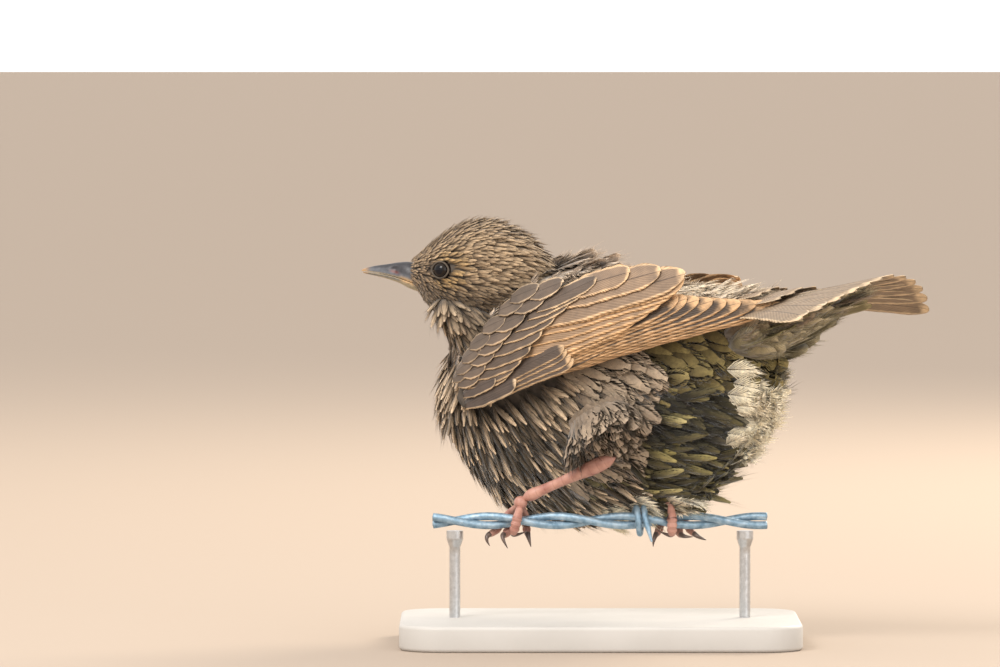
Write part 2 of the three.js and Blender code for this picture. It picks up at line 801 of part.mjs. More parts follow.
// Perch: two strands wound round each other, and a barb of two wires wound round both.
function strandForm(phase) {
  const points = [];
  const steps = 40;
  for (let i = 0; i <= steps; i++) {
    const x = -wireLength / 2 + (wireLength * i) / steps;
    const turn = phase + (2 * Math.PI * x) / strandTwist;
    const r = strandRadius + gap / 2;
    points.push(wire(x, r * Math.cos(turn), r * Math.sin(turn)));
  }
  const section = new THREE.Shape().absarc(0, 0, strandRadius, 0, 2 * Math.PI);
  const path = new THREE.CatmullRomCurve3(points);
  return solid(new THREE.ExtrudeGeometry(section, { curveSegments: 4, steps: 26, extrudePath: path }));
}

function barbForm(x, phase, direction, grow = 0) {
  const ring = 2 * strandRadius + gap + barbRadius + 0.25;
  const turns = 1.3;
  const points = [];
  const steps = 14;
  const start = wire(x, ring * Math.cos(phase), ring * Math.sin(phase));
  const lead = new THREE.Vector3(-0.25 * direction, Math.sin(phase), -Math.cos(phase)).normalize();
  points.push(start.clone().addScaledVector(lead, 8.5), start.clone().addScaledVector(lead, 3));
  for (let i = 0; i <= steps; i++) {
    const turn = phase + (2 * Math.PI * turns * i) / steps;
    const pitch = (direction * (2 * barbRadius + gap) * turns * i) / steps;
    points.push(wire(x + pitch, ring * Math.cos(turn), ring * Math.sin(turn)));
  }
  const last = phase + 2 * Math.PI * turns;
  const away = new THREE.Vector3(0.25 * direction, -Math.sin(last), Math.cos(last)).normalize();
  const end = points[points.length - 1];
  points.push(end.clone().addScaledVector(away, 3), end.clone().addScaledVector(away, 8.5));
  const path = new THREE.CatmullRomCurve3(points, false, "centripetal");
  const radius = (s) => (s > 0 && s < 1 ? grow + barbRadius * Math.min(1, 0.25 + 14 * s * (1 - s)) : 0);
  return tube(path, radius, 6, 38);
}

// Stand: a bevelled base and two rods that end in small cups under the wire.
function baseForm() {
  const { length, depth, height, corner, bevel } = base;
  const x = length / 2 - bevel;
  const y = depth / 2 - bevel;
  const r = corner - bevel;
  const outline = new THREE.Shape()
    .moveTo(-x + r, -y)
    .lineTo(x - r, -y)
    .absarc(x - r, -y + r, r, -Math.PI / 2, 0)
    .lineTo(x, y - r)
    .absarc(x - r, y - r, r, 0, Math.PI / 2)
    .lineTo(-x + r, y)
    .absarc(-x + r, y - r, r, Math.PI / 2, Math.PI)
    .lineTo(-x, -y + r)
    .absarc(-x + r, -y + r, r, Math.PI, 1.5 * Math.PI);
  const form = new THREE.ExtrudeGeometry(outline, {
    depth: height - 2 * bevel,
    bevelSize: bevel,
    bevelThickness: bevel,
    bevelSegments: 1,
    curveSegments: 4,
  });
  form.translate(0, 0, bevel);
  return solid(form);
}

function rodForm(x) {
  const low = base.height + gap;
  const high = wireHeight - 2 * strandRadius - gap - 0.3;
  const profile = [
    [0, low],
    [rod.radius, low],
    [rod.radius, high - 5],
    [rod.radius + 0.9, high - 2.5],
    [rod.radius + 0.9, high],
    [0, high],
  ].map(([r, z]) => new THREE.Vector2(r, z));
  const form = new THREE.LatheGeometry(profile, 14).rotateX(Math.PI / 2);
  form.translate(x, 0, 0);
  return solid(form);
}

const part = new THREE.Group();

function add(name, made, colour, roughness, metalness) {
  part.add(mesh(name, made, colour, roughness, metalness));
}

const neckBody = below(above(flesh, neckCut), headCut);
const perchClearance = tube(
  new THREE.LineCurve3(wire(-wireLength, 0, 0), wire(wireLength, 0, 0)),
  (s) => (s > 0 && s < 1 ? 4.4 : 0),
  16,
  4,
);
const barbClearance = tube(
  new THREE.LineCurve3(wire(barbX - 14, 0, 0), wire(barbX + 7, 0, 0)),
  (s) => (s > 0 && s < 1 ? 7.1 : 0),
  12,
  4,
);
const footClearance = [legs.left.foot, legs.right.foot].map((at) => ball(at, 6.6, 12, 8));
const mantleForm = below(below(joined(mantleVanes()), neckCut), headCut);
const barbRoom = barbForm(barbX - 4.4, 0.9, 1, 2 * gap);
const torsoBody = joined([below(flesh, neckCut), mantleForm]).subtract(
  joined([perchClearance, barbClearance, barbRoom, ...footClearance]),
);

add("head", headForm(), colours.plumage, 0.9);
add("bill_upper", upperBill, colours.bill, 0.4);
add("bill_lower", lowerBill, colours.bill, 0.4);
add("eye_left", ball(eyeCentre(1), eye.radius), colours.eye, 0.05);
add("eye_right", ball(eyeCentre(-1), eye.radius), colours.eye, 0.05);
add("neck", neckBody, colours.plumage, 0.9);
add("torso", torsoBody, colours.plumage, 0.9);
add("wing_left", wingForm(1), colours.wing, 0.8);
add("wing_right", wingForm(-1), colours.wing, 0.8);
add("tail", tailForm(), colours.tail, 0.8);

for (const side of ["left", "right"]) {
  const away = joined([torsoForm(gap), wingForm(side === "left" ? 1 : -1)]);
  add("thigh_" + side, thighForm(legs[side]).subtract(away), colours.plumage, 0.9);
  const cuff = tube(
    new THREE.LineCurve3(legs[side].hip, legs[side].heel),
    (s) => through(thighRows, s)[1] + (s > 0 && s < 1 ? gap : 0),
    16,
    12,
  );
  add("shank_" + side, shankCut(side).subtract(cuff).subtract(torsoForm(gap)), colours.skin, 0.6);
  add("foot_" + side, footForm(side), colours.skin, 0.6);
  for (const toe of toes[side]) {
    add("claw_" + side + "_" + toe.name, clawForm(side, toe), colours.claw, 0.4);
  }
}

add("wire_strand_1", strandForm(0.4), colours.steel, 0.45, 0.6);
add("wire_strand_2", strandForm(0.4 + Math.PI), colours.steel, 0.45, 0.6);
add("wire_barb_1", barbForm(barbX - 4.4, 0.9, 1), colours.steel, 0.45, 0.6);
add("stand_base", baseForm(), colours.stand, 0.7);
add("stand_rod_1", rodForm(-rod.x), colours.rod, 0.35, 0.7);
add("stand_rod_2", rodForm(rod.x), colours.rod, 0.35, 0.7);

export default part;
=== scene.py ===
import math
import bpy
import numpy as np
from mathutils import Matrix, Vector


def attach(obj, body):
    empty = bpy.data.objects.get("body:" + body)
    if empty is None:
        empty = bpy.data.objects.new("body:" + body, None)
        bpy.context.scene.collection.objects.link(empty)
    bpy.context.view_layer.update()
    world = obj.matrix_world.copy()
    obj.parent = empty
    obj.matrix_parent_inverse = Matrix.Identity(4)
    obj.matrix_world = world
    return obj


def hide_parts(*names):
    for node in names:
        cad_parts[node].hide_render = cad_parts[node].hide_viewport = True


# A young starling on a cut length of barbed wire, dressed over the solids of the frame.
# Everything is worked out in millimetres and scaled to metres as each mesh is made.
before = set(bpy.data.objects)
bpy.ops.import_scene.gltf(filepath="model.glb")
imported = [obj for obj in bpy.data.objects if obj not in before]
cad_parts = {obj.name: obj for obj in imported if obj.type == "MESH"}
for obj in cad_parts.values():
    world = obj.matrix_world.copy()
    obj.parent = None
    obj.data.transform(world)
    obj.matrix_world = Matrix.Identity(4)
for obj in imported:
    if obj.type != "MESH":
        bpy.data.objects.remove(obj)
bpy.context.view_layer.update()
rng = np.random.default_rng(11)
scene = bpy.context.scene


# Frames shared with the solids
deg = math.radians
wireZ = 38.0
body = {"yaw": deg(32), "y": 18.0, "front": (-54.0, 33.0), "rear": (62.0, 66.0)}
head = {"yaw": deg(15), "pitch": deg(3), "face": (-60.5, 37.2, 76.4)}
eye = {"along": 14.6, "up": 1.5, "radius": 3.0, "forward": deg(14)}
wing = {"length": 113.0, "wrist": (-35.3, 25.5, 37.5), "tip": (73.0, 12.0, 70.5), "lean": deg(12),
        "farLean": deg(34), "farDrop": (7.0, 0.5), "bulge": 12.0}
tail = {
    "base": (47.0, 0.0, 66.3), "pitch": deg(11), "roll": deg(5), "yaw": deg(3),
    "length": 61.0, "spread": deg(36), "arch": 0.0085, "nearArch": 0.42}
billLength = 14.6
gap = 0.3


def vec(x, y, z):
    return np.stack(np.broadcast_arrays(np.asarray(x, float), y, z), axis=-1).astype(float)


def unit(v):
    return v / np.maximum(np.linalg.norm(v, axis=-1, keepdims=True), 1e-12)


def bodyPoint(a, b, z):
    c, s = math.cos(body["yaw"]), math.sin(body["yaw"])
    return vec(a * c - b * s, body["y"] - a * s - b * c, wireZ + z)


def headPoint(a, b, up):
    c, s = math.cos(head["yaw"]), math.sin(head["yaw"])
    cp, sp = math.cos(head["pitch"]), math.sin(head["pitch"])
    along = a * cp + up * sp
    fx, fy, fz = head["face"]
    return vec(fx + along * c - b * s, fy - along * s - b * c, wireZ + fz + up * cp - a * sp)


rearward = bodyPoint(1, 0, 0) - bodyPoint(0, 0, 0)
leftward = bodyPoint(0, 1, 0) - bodyPoint(0, 0, 0)
upward = np.array([0.0, 0.0, 1.0])


def through(rows, t):
    # smooth value through equally spaced rows: cubics sloped by the neighbours' differences
    rows = np.asarray(rows, float)
    x = np.clip(np.asarray(t, float), 0, 1) * (len(rows) - 1)
    i = np.minimum(x.astype(int), len(rows) - 2)
    f = (x - i)[..., None]
    p, q = rows[np.maximum(i - 1, 0)], rows[i]
    r, s = rows[i + 1], rows[np.minimum(i + 2, len(rows) - 1)]
    m0, m1, d = (r - p) / 2, (s - q) / 2, r - q
    return q + f * (m0 + f * (3 * d - 2 * m0 - m1 + f * (m0 + m1 - 2 * d)))


def smooth(lo, hi, x):
    t = np.clip((x - lo) / (hi - lo), 0, 1)
    return t * t * (3 - 2 * t)


# Mesh making
def makeMesh(name, verts, faces, material, smoothShade=True, colours=None, uvs=None, replaces=(),
             normals=None):
    # verts in millimetres; faces is a list of index arrays, one array per polygon size
    mesh = bpy.data.meshes.new(name)
    mesh.vertices.add(len(verts))
    mesh.vertices.foreach_set("co", (np.asarray(verts) * 0.001).astype(np.float32).ravel())
    faces = [np.asarray(f) for f in faces if len(f)]
    loops = np.concatenate([f.ravel() for f in faces])
    counts = np.concatenate([np.full(len(f), f.shape[1]) for f in faces])
    mesh.loops.add(len(loops))
    mesh.loops.foreach_set("vertex_index", loops.astype(np.int32))
    mesh.polygons.add(len(counts))
    mesh.polygons.foreach_set("loop_start", np.concatenate([[0], np.cumsum(counts)[:-1]]).astype(np.int32))
    mesh.polygons.foreach_set("use_smooth", np.full(len(counts), smoothShade))
    for key, values in (uvs or {}).items():
        layer = mesh.uv_layers.new(name=key)
        layer.data.foreach_set("uv", np.asarray(values)[loops].astype(np.float32).ravel())
    for key, values in (colours or {}).items():
        layer = mesh.color_attributes.new(key, "FLOAT_COLOR", "POINT")
        rgba = np.concatenate([np.asarray(values), np.ones((len(values), 1))], axis=1)
        layer.data.foreach_set("color", rgba.astype(np.float32).ravel())
    mesh.update()
    mesh.validate()
    if normals is not None:
        mesh.normals_split_custom_set_from_vertices(normals)
    obj = bpy.data.objects.new(name, mesh)
    scene.collection.objects.link(obj)
    mesh.materials.append(material)
    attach(obj, "root")
    if replaces:
        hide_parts(*replaces)
    return obj


def gridFaces(m):
    # four-point faces between the neighbours of a grid of point numbers
    return np.stack([m[:-1, :-1], m[:-1, 1:], m[1:, 1:], m[1:, :-1]], -1).reshape(-1, 4)


def closedGrid(rows, columns):
    # point numbers row by row, the last column followed by the first again
    m = np.arange(rows * columns).reshape(rows, columns)
    return np.concatenate([m, m[:, :1]], axis=1)


def loftGrid(fn, along, around):
    # closed skin of a loft: rings at even steps of s, the two end rings drawn together into poles
    s = np.linspace(0, 1, along + 1)[1:-1]
    a = np.linspace(0, 2 * np.pi, around, endpoint=False)
    ss, aa = np.meshgrid(s, a, indexing="ij")
    pts = fn(ss.ravel(), aa.ravel())
    poles = np.stack([fn(np.zeros(8), a[:8]).mean(0), fn(np.ones(8), a[:8]).mean(0)])
    n, k = along - 1, around
    quads = gridFaces(closedGrid(n, k))
    j = np.arange(k)
    first = np.stack([np.full(k, n * k), (j + 1) % k, j], -1)
    last = np.stack([np.full(k, n * k + 1), (n - 1) * k + j, (n - 1) * k + (j + 1) % k], -1)
    uv = np.stack([np.concatenate([aa.ravel() / (2 * np.pi), [0, 0]]),
                   np.concatenate([ss.ravel(), [0, 1]])], -1)
    verts = np.concatenate([pts, poles])
    # turn the faces outwards when the loft runs the other way round
    a0, a1, a2 = verts[quads[:, 0]], verts[quads[:, 1]], verts[quads[:, 2]]
    if (np.cross(a1 - a0, a2 - a0) * (a0 - verts.mean(0))).sum() < 0:
        quads, first, last = quads[:, ::-1], first[:, ::-1], last[:, ::-1]
    return verts, [quads, np.concatenate([first, last])], uv


def joinLofts(parts):
    # several lofts as one mesh: each one's face numbers start after the points before it
    counts = np.cumsum([0] + [len(v) for v, _, _ in parts])
    faces = [np.concatenate([f[i] + start for (_, f, _), start in zip(parts, counts)]) for i in (0, 1)]
    return np.concatenate([v for v, _, _ in parts]), faces, np.concatenate([uv for _, _, uv in parts])


def frames(fn, s, a):
    # place, outward normal and the way s runs, by small differences
    e = 1e-3
    p = fn(s, a)
    ds = fn(np.clip(s + e, 0, 1), a) - fn(np.clip(s - e, 0, 1), a)
    da = fn(s, a + e) - fn(s, a - e)
    n = np.cross(ds, da)
    inside = fn(s, a + np.pi)
    n = unit(n) * np.sign((n * (p - inside)).sum(-1, keepdims=True))
    area = np.linalg.norm(np.cross(ds, da), axis=-1)
    return p, n, unit(ds), area


def tubeFn(points, radius):
    # round tube of radius(s) about a smooth path through the points
    points = np.asarray(points, float)

    def fn(s, a):
        p = through(points, s)
        d = unit(through(points, np.clip(s + 0.004, 0, 1)) - through(points, np.clip(s - 0.004, 0, 1)))
        side = unit(np.cross(d, np.array([0.13, 0.21, 0.97])))
        up = np.cross(side, d)
        r = radius(s)[:, None]
        return p + r * (np.cos(a)[:, None] * side + np.sin(a)[:, None] * up)
    return fn


def ballFn(centre, radius):
    def fn(s, a):
        ring = np.sin(np.pi * s)
        return centre + radius * np.stack([ring * np.cos(a), ring * np.sin(a), np.cos(np.pi * s)], -1)
    return fn


# The forms of the flesh, as in the solids
torsoRows = [
    [0, 0, 0, 0], [1.5, 10, 13, 11], [6, 18, 26, 17.5], [15, 26, 37, 22], [28, 33, 44, 25],
    [42, 35, 48.5, 26.5], [56, 32, 50.5, 26.5], [70, 26, 51, 25.5], [84, 19, 48, 22.5],
    [97, 13, 42.5, 18.5], [108, 9, 33, 14], [115, 6, 23, 10], [118.5, 3, 11, 5], [119.5, 0, 0, 0]]
headRows = [
    [0.6, 0, 0, 0], [0.8, 3.2, 2.2, 2.6], [3.5, 5.8, 5.4, 5.0], [7.5, 9.6, 10.2, 7.6],
    [12.5, 13.8, 14.4, 10.2], [18, 16.8, 16.6, 12.2], [25, 18, 17.4, 13.2], [32, 16.6, 16.4, 12.9],
    [38.5, 13.4, 14, 11], [43.5, 9, 10, 7.8], [46.5, 4.6, 5, 4], [47.6, 0, 0, 0]]
neckRows = [[0, 0], [0.05, 10], [0.25, 18], [0.5, 20], [0.75, 19], [0.95, 11], [1, 0]]
ventRows = [
    [40, 57, 0, 0, 0], [41, 57, 8, 10, 9], [50, 58, 8, 13, 13], [60, 60.5, 6.5, 12, 13.5],
    [70, 63.5, 4.2, 9, 12.5], [80, 67, 2.4, 5.5, 10], [88, 69.2, 1.2, 2.6, 7], [91, 70, 0, 0, 0]]
thighRows = [[0, 0], [0.03, 9], [0.25, 12.5], [0.5, 11], [0.75, 7.4], [0.93, 4.2], [0.99, 2.9], [1, 0]]
shankRows = [[0, 0], [0.03, 1.9], [0.1, 2.4], [0.24, 1.85], [0.55, 1.55], [0.85, 1.6], [0.96, 1.85], [1, 0]]


def torsoAxis():
    # front end of the trunk's axis, along and up, then the way it runs
    (fa, fz), (ra, rz) = body["front"], body["rear"]
    length = math.hypot(ra - fa, rz - fz)
    return fa, fz, (ra - fa) / length, (rz - fz) / length


def torsoFn(s, a):
    st, up, down, half = np.moveaxis(through(torsoRows, s), -1, 0)
    fa, fz, da, dz = torsoAxis()
    sn = np.sin(a)
    narrow = 1 - np.where(sn > 0, 0.2, -0.14) * sn
    h = np.where(sn > 0, up, down) * sn
    return bodyPoint(fa + st * da - h * dz, half * narrow * np.cos(a), fz + st * dz + h * da)


def headFn(s, a):
    st, up, down, half = np.moveaxis(through(headRows, s), -1, 0)
    sn = np.sin(a)
    return headPoint(st, half * np.cos(a) * (1 + 0.06 * sn ** 2), np.where(sn > 0, up, down) * sn)


def neckLine():
    # foot and top of the neck's middle, and the way that its front faces
    forward = unit(np.array([-math.cos(head["yaw"]), math.sin(head["yaw"]), 0.35]))
    return bodyPoint(-30, 0, 40), headPoint(26, 0, -4), forward


def neckFn(s, a):
    f, r = np.moveaxis(through(neckRows, s), -1, 0)
    low, high, forward = neckLine()
    centre = low + (high - low) * f[..., None]
    return centre + (r * np.sin(a))[..., None] * forward + (0.92 * r * np.cos(a))[..., None] * leftward


def ventFn(s, a):
    at, z, up, down, half = np.moveaxis(through(ventRows, s), -1, 0)
    sn = np.sin(a)
    return bodyPoint(at, half * np.cos(a), z + np.where(sn > 0, up, down) * sn)


def wirePoint(x, y, z):
    return np.array([x, y, wireZ + z], float)


legs = {
    "left": {"hip": bodyPoint(10, 21, 38), "heel": wirePoint(5.2, -13, 20.6),
             "foot": wirePoint(-24.6, -1.2, 6.6)},
    "right": {"hip": bodyPoint(14, -15, 33), "heel": wirePoint(39, 22, 16.5),
              "foot": wirePoint(21.8, 1.6, 6.8)}}


def thighFn(side):
    leg = legs[side]
    end = leg["heel"] - unit(leg["heel"] - leg["hip"]) * 1.6
    return tubeFn([leg["hip"], end], lambda s: through(thighRows, s)[..., 1])


# Wing and tail surfaces, as in the solids
def wingFrame(side):
    # along the wing, up its breadth and out of its face
    lean = wing["lean"] if side > 0 else wing["farLean"]
    d = unit(np.subtract(wing["tip"], wing["wrist"]))
    up = np.array([0, -math.sin(lean), math.cos(lean)])
    up = unit(up - d * (up @ d))
    return d, up, -np.cross(d, up)


def wingDrop(side, u):
    first, last = wing["farDrop"]
    return 0 * u if side > 0 else first + (last - first) * u


def wingBend(u, y):
    return wing["bulge"] * 4 * u * (1 - u) * (1 - 0.25 * u) - 0.0125 * (y - 2) ** 2


def wingPlace(side):
    d, up, out = wingFrame(side)

    def place(x, y, h):
        u = np.clip(x / wing["length"], 0, 1.05)
        rise = wingBend(u, y) + h
        p = np.array(wing["wrist"]) + x[..., None] * d + y[..., None] * up + rise[..., None] * out
        return bodyPoint(p[..., 0], side * p[..., 1], p[..., 2] - wingDrop(side, u))
    return place


def tailPlace(x, y, h):
    cy, sy = math.cos(tail["yaw"]), math.sin(tail["yaw"])
    along, across = x * cy - y * sy, x * sy + y * cy
    arch = tail["arch"] * y ** 2 * np.where(y > 0, tail["nearArch"], 1.0)
    arched = h - arch - across * math.sin(tail["roll"])
    cp, sp = math.cos(tail["pitch"]), math.sin(tail["pitch"])
    ba, bb, bz = tail["base"]
    return bodyPoint(ba + along * cp - arched * sp, bb + across, bz + along * sp + arched * cp)


# Materials
def newMaterial(name):
    mat = bpy.data.materials.new(name)
    mat.use_nodes = True
    nodes, links = mat.node_tree.nodes, mat.node_tree.links
    return mat, nodes, links, nodes["Principled BSDF"]


def node(nodes, kind, **values):
    made = nodes.new(kind)
    for key, value in values.items():
        if key in made.inputs:
            made.inputs[key].default_value = value
        else:
            setattr(made, key, value)
    return made


def ramp(nodes, stops):
    made = nodes.new("ShaderNodeValToRGB")
    elements = made.color_ramp.elements
    while len(elements) < len(stops):
        elements.new(0.5)
    for element, (at, colour) in zip(elements, stops):
        element.position = at
        element.color = (*colour, 1)
    return made


def mixColour(nodes, links, kind, factor, a, b):
    made = nodes.new("ShaderNodeMix")
    made.data_type = "RGBA"
    made.blend_type = kind
    for socket, value in ((made.inputs[0], factor), (made.inputs[6], a), (made.inputs[7], b)):
        if hasattr(value, "links"):
            links.new(value, socket)
        else:
            socket.default_value = value if isinstance(value, (int, float)) else (*value, 1)
    return made.outputs[2]


def maths(nodes, links, kind, *values):
    # a sum whose terms are numbers or other nodes' outputs
    made = node(nodes, "ShaderNodeMath", operation=kind)
    for socket, value in zip(made.inputs, values):
        if hasattr(value, "links"):
            links.new(value, socket)
        else:
            socket.default_value = value
    return made.outputs[0]


def objectNoise(nodes, links, scale, detail):
    coords = nodes.new("ShaderNodeTexCoord")
    noise = node(nodes, "ShaderNodeTexNoise", Scale=scale, Detail=detail)
    links.new(coords.outputs["Object"], noise.inputs["Vector"])
    return noise.outputs["Fac"]


def uvParts(nodes, links, name):
    # across and along of a UV map
    uv = node(nodes, "ShaderNodeUVMap", uv_map=name)
    split = nodes.new("ShaderNodeSeparateXYZ")
    links.new(uv.outputs[0], split.inputs[0])
    return split.outputs[0], split.outputs[1]


def coatMaterial(name, roughness, specular, sheen, barbs=None):
    # colour comes from the mesh's own tint; fine noise breaks it up
    mat, nodes, links, shader = newMaterial(name)
    tint = node(nodes, "ShaderNodeAttribute", attribute_name="tint")
    noise = objectNoise(nodes, links, 900.0, 2.0)
    grain = ramp(nodes, [(0.3, (0.98, 0.96, 0.94)), (0.7, (1.5, 1.44, 1.34))])
    links.new(noise, grain.inputs[0])
    colour = mixColour(nodes, links, "MULTIPLY", 1.0, tint.outputs["Color"], grain.outputs[0])
    if barbs:
        # barbs slant forward from the shaft: a wave of the way along less a share of the way across
        across, along = uvParts(nodes, links, "vane")
        lag = maths(nodes, links, "MULTIPLY_ADD", across, -0.75, along)
        shift = maths(nodes, links, "MULTIPLY", noise, 5.0)
        wave = maths(nodes, links, "SINE", maths(nodes, links, "MULTIPLY_ADD", lag, barbs, shift))
        stripe = ramp(nodes, [(0.0, (0.7, 0.68, 0.66)), (1.0, (1.2, 1.19, 1.17))])
        level = node(nodes, "ShaderNodeMapRange")
        level.inputs[1].default_value = -1.0
        links.new(wave, level.inputs[0])
        links.new(level.outputs[0], stripe.inputs[0])
        colour = mixColour(nodes, links, "MULTIPLY", 1.0, colour, stripe.outputs[0])
    links.new(colour, shader.inputs["Base Color"])
    shader.inputs["Roughness"].default_value = roughness
    shader.inputs["Sheen Weight"].default_value = sheen
    shader.inputs["Sheen Roughness"].default_value = 0.5
    shader.inputs["Specular IOR Level"].default_value = specular
    return mat


def vaneMaterial():
    # the vane's own coordinates give a dark middle, a pale rim, a shaft and slanting barbs
    mat, nodes, links, shader = newMaterial("flightFeatherMaterial")
    tint = node(nodes, "ShaderNodeAttribute", attribute_name="tint")
    rim = node(nodes, "ShaderNodeAttribute", attribute_name="rim")
    side, along = uvParts(nodes, links, "vane")
    across = maths(nodes, links, "ABSOLUTE", maths(nodes, links, "SUBTRACT", side, 0.5))
    noise = objectNoise(nodes, links, 260.0, 3.0)
    ragged = maths(nodes, links, "MULTIPLY", maths(nodes, links, "SUBTRACT", noise, 0.5), 0.09)
    edge = node(nodes, "ShaderNodeMapRange", interpolation_type="SMOOTHSTEP")
    edge.inputs[1].default_value, edge.inputs[2].default_value = 0.37, 0.45
    links.new(maths(nodes, links, "ADD", across, ragged), edge.inputs[0])
    end = node(nodes, "ShaderNodeMapRange", interpolation_type="SMOOTHSTEP")
    end.inputs[1].default_value, end.inputs[2].default_value = 0.93, 0.985
    links.new(maths(nodes, links, "ADD", along, ragged), end.inputs[0])
    mask = maths(nodes, links, "MAXIMUM", edge.outputs[0], end.outputs[0])
    # barbs run out and forward from the shaft: stripes of v minus a share of the way across
    lag = maths(nodes, links, "MULTIPLY", across, -70.0)
    slant = maths(nodes, links, "ADD", maths(nodes, links, "MULTIPLY", along, 150.0), lag)
    wave = maths(nodes, links, "SINE", slant)
    barb = node(nodes, "ShaderNodeMapRange")
    barb.inputs[1].default_value, barb.inputs[2].default_value = -1.0, 1.0
    barb.inputs[3].default_value, barb.inputs[4].default_value = 0.86, 1.08
    links.new(wave, barb.inputs[0])
    colour = mixColour(nodes, links, "MIX", mask, tint.outputs["Color"], rim.outputs["Color"])
    mottle = ramp(nodes, [(0.25, (0.85, 0.85, 0.86)), (0.75, (1.3, 1.26, 1.2))])
    links.new(noise, mottle.inputs[0])
    colour = mixColour(nodes, links, "MULTIPLY", 1.0, colour, mottle.outputs[0])
    barbColour = nodes.new("ShaderNodeCombineColor")
    for socket in barbColour.inputs[:3]:
        links.new(barb.outputs[0], socket)
    colour = mixColour(nodes, links, "MULTIPLY", 1.0, colour, barbColour.outputs[0])
    shaft = node(nodes, "ShaderNodeMapRange", interpolation_type="SMOOTHSTEP")
    shaft.inputs[1].default_value, shaft.inputs[2].default_value = 0.012, 0.03
    shaft.inputs[3].default_value, shaft.inputs[4].default_value = 1.0, 0.0
    links.new(across, shaft.inputs[0])
    share = maths(nodes, links, "MULTIPLY", shaft.outputs[0], 0.7)
    colour = mixColour(nodes, links, "MIX", share, colour, (0.05, 0.035, 0.028))
    links.new(colour, shader.inputs["Base Color"])
    bump = node(nodes, "ShaderNodeBump", Strength=0.35, Distance=0.0002)
    links.new(wave, bump.inputs["Height"])
    links.new(bump.outputs[0], shader.inputs["Normal"])
    shader.inputs["Roughness"].default_value = 0.55
    shader.inputs["Specular IOR Level"].default_value = 0.35
    return mat


def plainMaterial(name, stops, roughness, metallic=0.0, scale=120.0, bump=0.15, coat=0.0, bands=None):
    # colour runs through the stops by noise; bands adds cross rings by the mesh's own length coordinate
    mat, nodes, links, shader = newMaterial(name)
    height = objectNoise(nodes, links, scale, 5.0)
    colours = ramp(nodes, stops)
    links.new(height, colours.inputs[0])
    colour = colours.outputs[0]
    if bands:
        along = uvParts(nodes, links, "form")[1]
        part = maths(nodes, links, "FRACT", maths(nodes, links, "MULTIPLY", along, bands))
        ring = ramp(nodes, [(0.0, (0.7, 0.62, 0.58)), (0.14, (1, 1, 1)), (1.0, (0.94, 0.92, 0.9))])
        links.new(part, ring.inputs[0])
        colour = mixColour(nodes, links, "MULTIPLY", 0.8, colour, ring.outputs[0])
        height = ring.outputs[0]
    links.new(colour, shader.inputs["Base Color"])
    bumpNode = node(nodes, "ShaderNodeBump", Strength=bump, Distance=0.0004)
    links.new(height, bumpNode.inputs["Height"])
    links.new(bumpNode.outputs[0], shader.inputs["Normal"])
    shader.inputs["Roughness"].default_value = roughness
    shader.inputs["Metallic"].default_value = metallic
    shader.inputs["Coat Weight"].default_value = coat
    return mat


coatMat = coatMaterial("plumageMaterial", 0.8, 0.15, 0.3, 90.0)
vaneMat = vaneMaterial()
# dark skin under the coat: partly the underdown's own grey, partly painted shade for the gaps between
# feathers
skinAndShadeMat = plainMaterial("underdownAndShadeMaterial", [(0.3, (0.045, 0.038, 0.032)), (0.7, (0.11, 0.09, 0.072))],
                        0.95, scale=400)
billMat = coatMaterial("hornMaterial", 0.34, 0.32, 0.0)
legMat = plainMaterial("legMaterial", [(0.3, (0.36, 0.16, 0.125)), (0.7, (0.56, 0.31, 0.24))], 0.42,
                       scale=300, bump=0.25, bands=13.0)
clawMat = plainMaterial("clawMaterial", [(0.3, (0.05, 0.035, 0.03)), (0.7, (0.16, 0.11, 0.09))], 0.3,
                        scale=400)
zincStops = [(0.3, (0.14, 0.24, 0.33)), (0.5, (0.26, 0.38, 0.48)), (0.75, (0.45, 0.56, 0.64))]
wireMat = plainMaterial("galvanizedMaterial", zincStops, 0.5, 0.55, scale=500, bump=0.4)
standMat = plainMaterial("standMaterial", [(0.3, (0.5, 0.48, 0.45)), (0.7, (0.55, 0.53, 0.5))], 0.5,
                         scale=40, bump=0.04)
rodMat = plainMaterial("rodMaterial", [(0.3, (0.45, 0.46, 0.47)), (0.7, (0.6, 0.61, 0.62))], 0.3, 0.9,
                       scale=800, bump=0.05)


# Skin: every loft drawn in by the coat's depth, joined by one remesh
def innerFn(fn, depth):
    def made(s, a):
        p, n, _, _ = frames(fn, np.clip(s, 0.004, 0.996), a)
        return p - n * (depth(s)[:, None] if callable(depth) else depth)
    return made


def thighDepth(s):
    # the thigh's top sinks into the flank, its cuff keeps close to the heel
    return 1.2 + 2.6 * smooth(0.75, 0.25, s)


def makeSkin():
    settings = {"voxel": 1.1, "depths": [(torsoFn, 3.2), (neckFn, 2.6), (headFn, 1.3), (ventFn, 2.4)]}
    lofts = settings["depths"] + [(thighFn("left"), thighDepth), (thighFn("right"), thighDepth)]
    verts, faces, _ = joinLofts([loftGrid(innerFn(fn, depth), 48, 48) for fn, depth in lofts])
    obj = makeMesh("bodySkin", verts, faces, skinAndShadeMat,
                   replaces=("head", "neck", "torso", "thigh_left", "thigh_right"))
    remesh = obj.modifiers.new("remesh", "REMESH")
    remesh.mode = "VOXEL"
    remesh.voxel_size = settings["voxel"] * 0.001
    remesh.use_smooth_shade = True
    soften = obj.modifiers.new("soften", "SMOOTH")
    soften.iterations = 6
    depsgraph = bpy.context.evaluated_depsgraph_get()
    done = bpy.data.meshes.new_from_object(obj.evaluated_get(depsgraph))
    obj.modifiers.clear()
    obj.data = done
    if not len(done.materials):
        done.materials.append(skinAndShadeMat)
    print("skin faces", len(done.polygons))


makeSkin()


